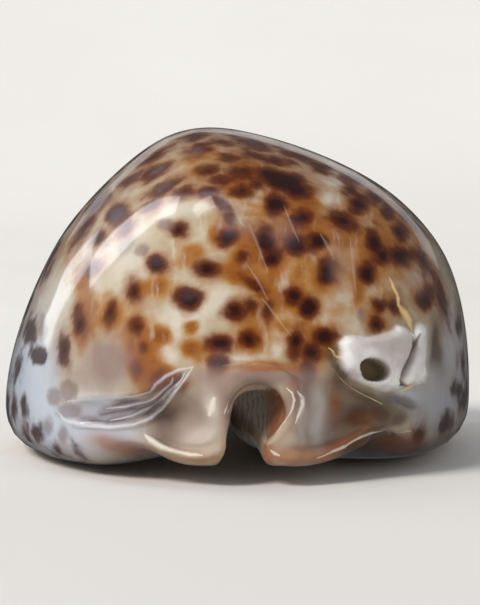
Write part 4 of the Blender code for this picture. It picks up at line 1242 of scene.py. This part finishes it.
flat = readPoints(floorPiece)
walked = (flat[:, 1] + 0.5) * (studio["back"] - studio["front"] + studio["rise"])
straight = studio["back"] - studio["curve"] - studio["front"]
arc = studio["curve"] * math.pi / 2
turned = np.clip((walked - straight) / studio["curve"], 0, math.pi / 2)
swept = np.stack([
    flat[:, 0] * studio["wide"],
    studio["front"] + np.minimum(walked, straight) + studio["curve"] * np.sin(turned),
    studio["curve"] * (1 - np.cos(turned)) + np.maximum(walked - straight - arc, 0) - studio["gap"],
], 1)
writePoints(floorPiece, swept)
floorPiece.data.shade_smooth()
backdropPaint = bpy.data.materials.new("backdropPaint")
backdropPaint.use_nodes = True
work["tree"] = backdropPaint.node_tree
paint = backdropPaint.node_tree.nodes["Principled BSDF"]
grain = grainOf(addNode("ShaderNodeTexCoord").outputs["Object"], *studio["floorGrain"])
feed(paint.inputs["Base Color"], blendColour(step(grain, *studio["floorTurn"]), *studio["floorColours"]))
feed(paint.inputs["Roughness"], studio["floorRoughness"])
floorPiece.data.materials.append(backdropPaint)

# the room's light is soft and pale, and the shell mirrors little of it, as between dark cards
floorPiece.visible_glossy = False
scene = bpy.context.scene
scene.world = bpy.data.worlds.new("softRoom")
scene.world.use_nodes = True
work["tree"] = scene.world.node_tree
background = scene.world.node_tree.nodes["Background"]
mirrored = addNode("ShaderNodeLightPath").outputs["Is Glossy Ray"]
change = studio["mirroredStrength"] - studio["worldStrength"]
feed(background.inputs["Color"], studio["worldColour"])
feed(background.inputs["Strength"], calculate("MULTIPLY_ADD", mirrored, change, studio["worldStrength"]))
scene.view_settings.view_transform = "Standard"
scene.view_settings.exposure = studio["exposure"]

sun = studio["sun"]
bpy.ops.object.light_add(type="SUN", location=(0, 0, 1))
softSun = bpy.context.object
softSun.name = "softSun"
softSun.data.energy = sun["strength"]
softSun.data.angle = math.radians(sun["angle"])
softSun.data.color = sun["colour"]
softSun.rotation_euler = (math.radians(90 - sun["height"]), 0, math.radians(sun["around"]))
softSun.visible_glossy = False
for name, (location, size, power, colour, mirrors) in studio["lights"].items():
    bpy.ops.object.light_add(type="AREA", location=location)
    lamp = bpy.context.object
    lamp.name = name
    lamp.data.shape = "RECTANGLE"
    lamp.data.size, lamp.data.size_y = size
    lamp.data.energy = power
    lamp.data.color = colour
    lamp.visible_camera = False
    lamp.visible_glossy = mirrors
    lamp.rotation_euler = (Vector(studio["aim"]) - Vector(location)).to_track_quat("-Z", "Y").to_euler()

upright = (math.radians(90 - cameraPlace["elevation"]), 0, 0)
bpy.ops.object.camera_add(location=Vector(eye * mm), rotation=upright)
photoCamera = scene.camera = bpy.context.object
photoCamera.name = "photoCamera"
photoCamera.data.lens = cameraPlace["lens"]
photoCamera.data.sensor_width = cameraPlace["sensor"]
photoCamera.data.clip_start = studio["cameraClip"]
print("studio set")
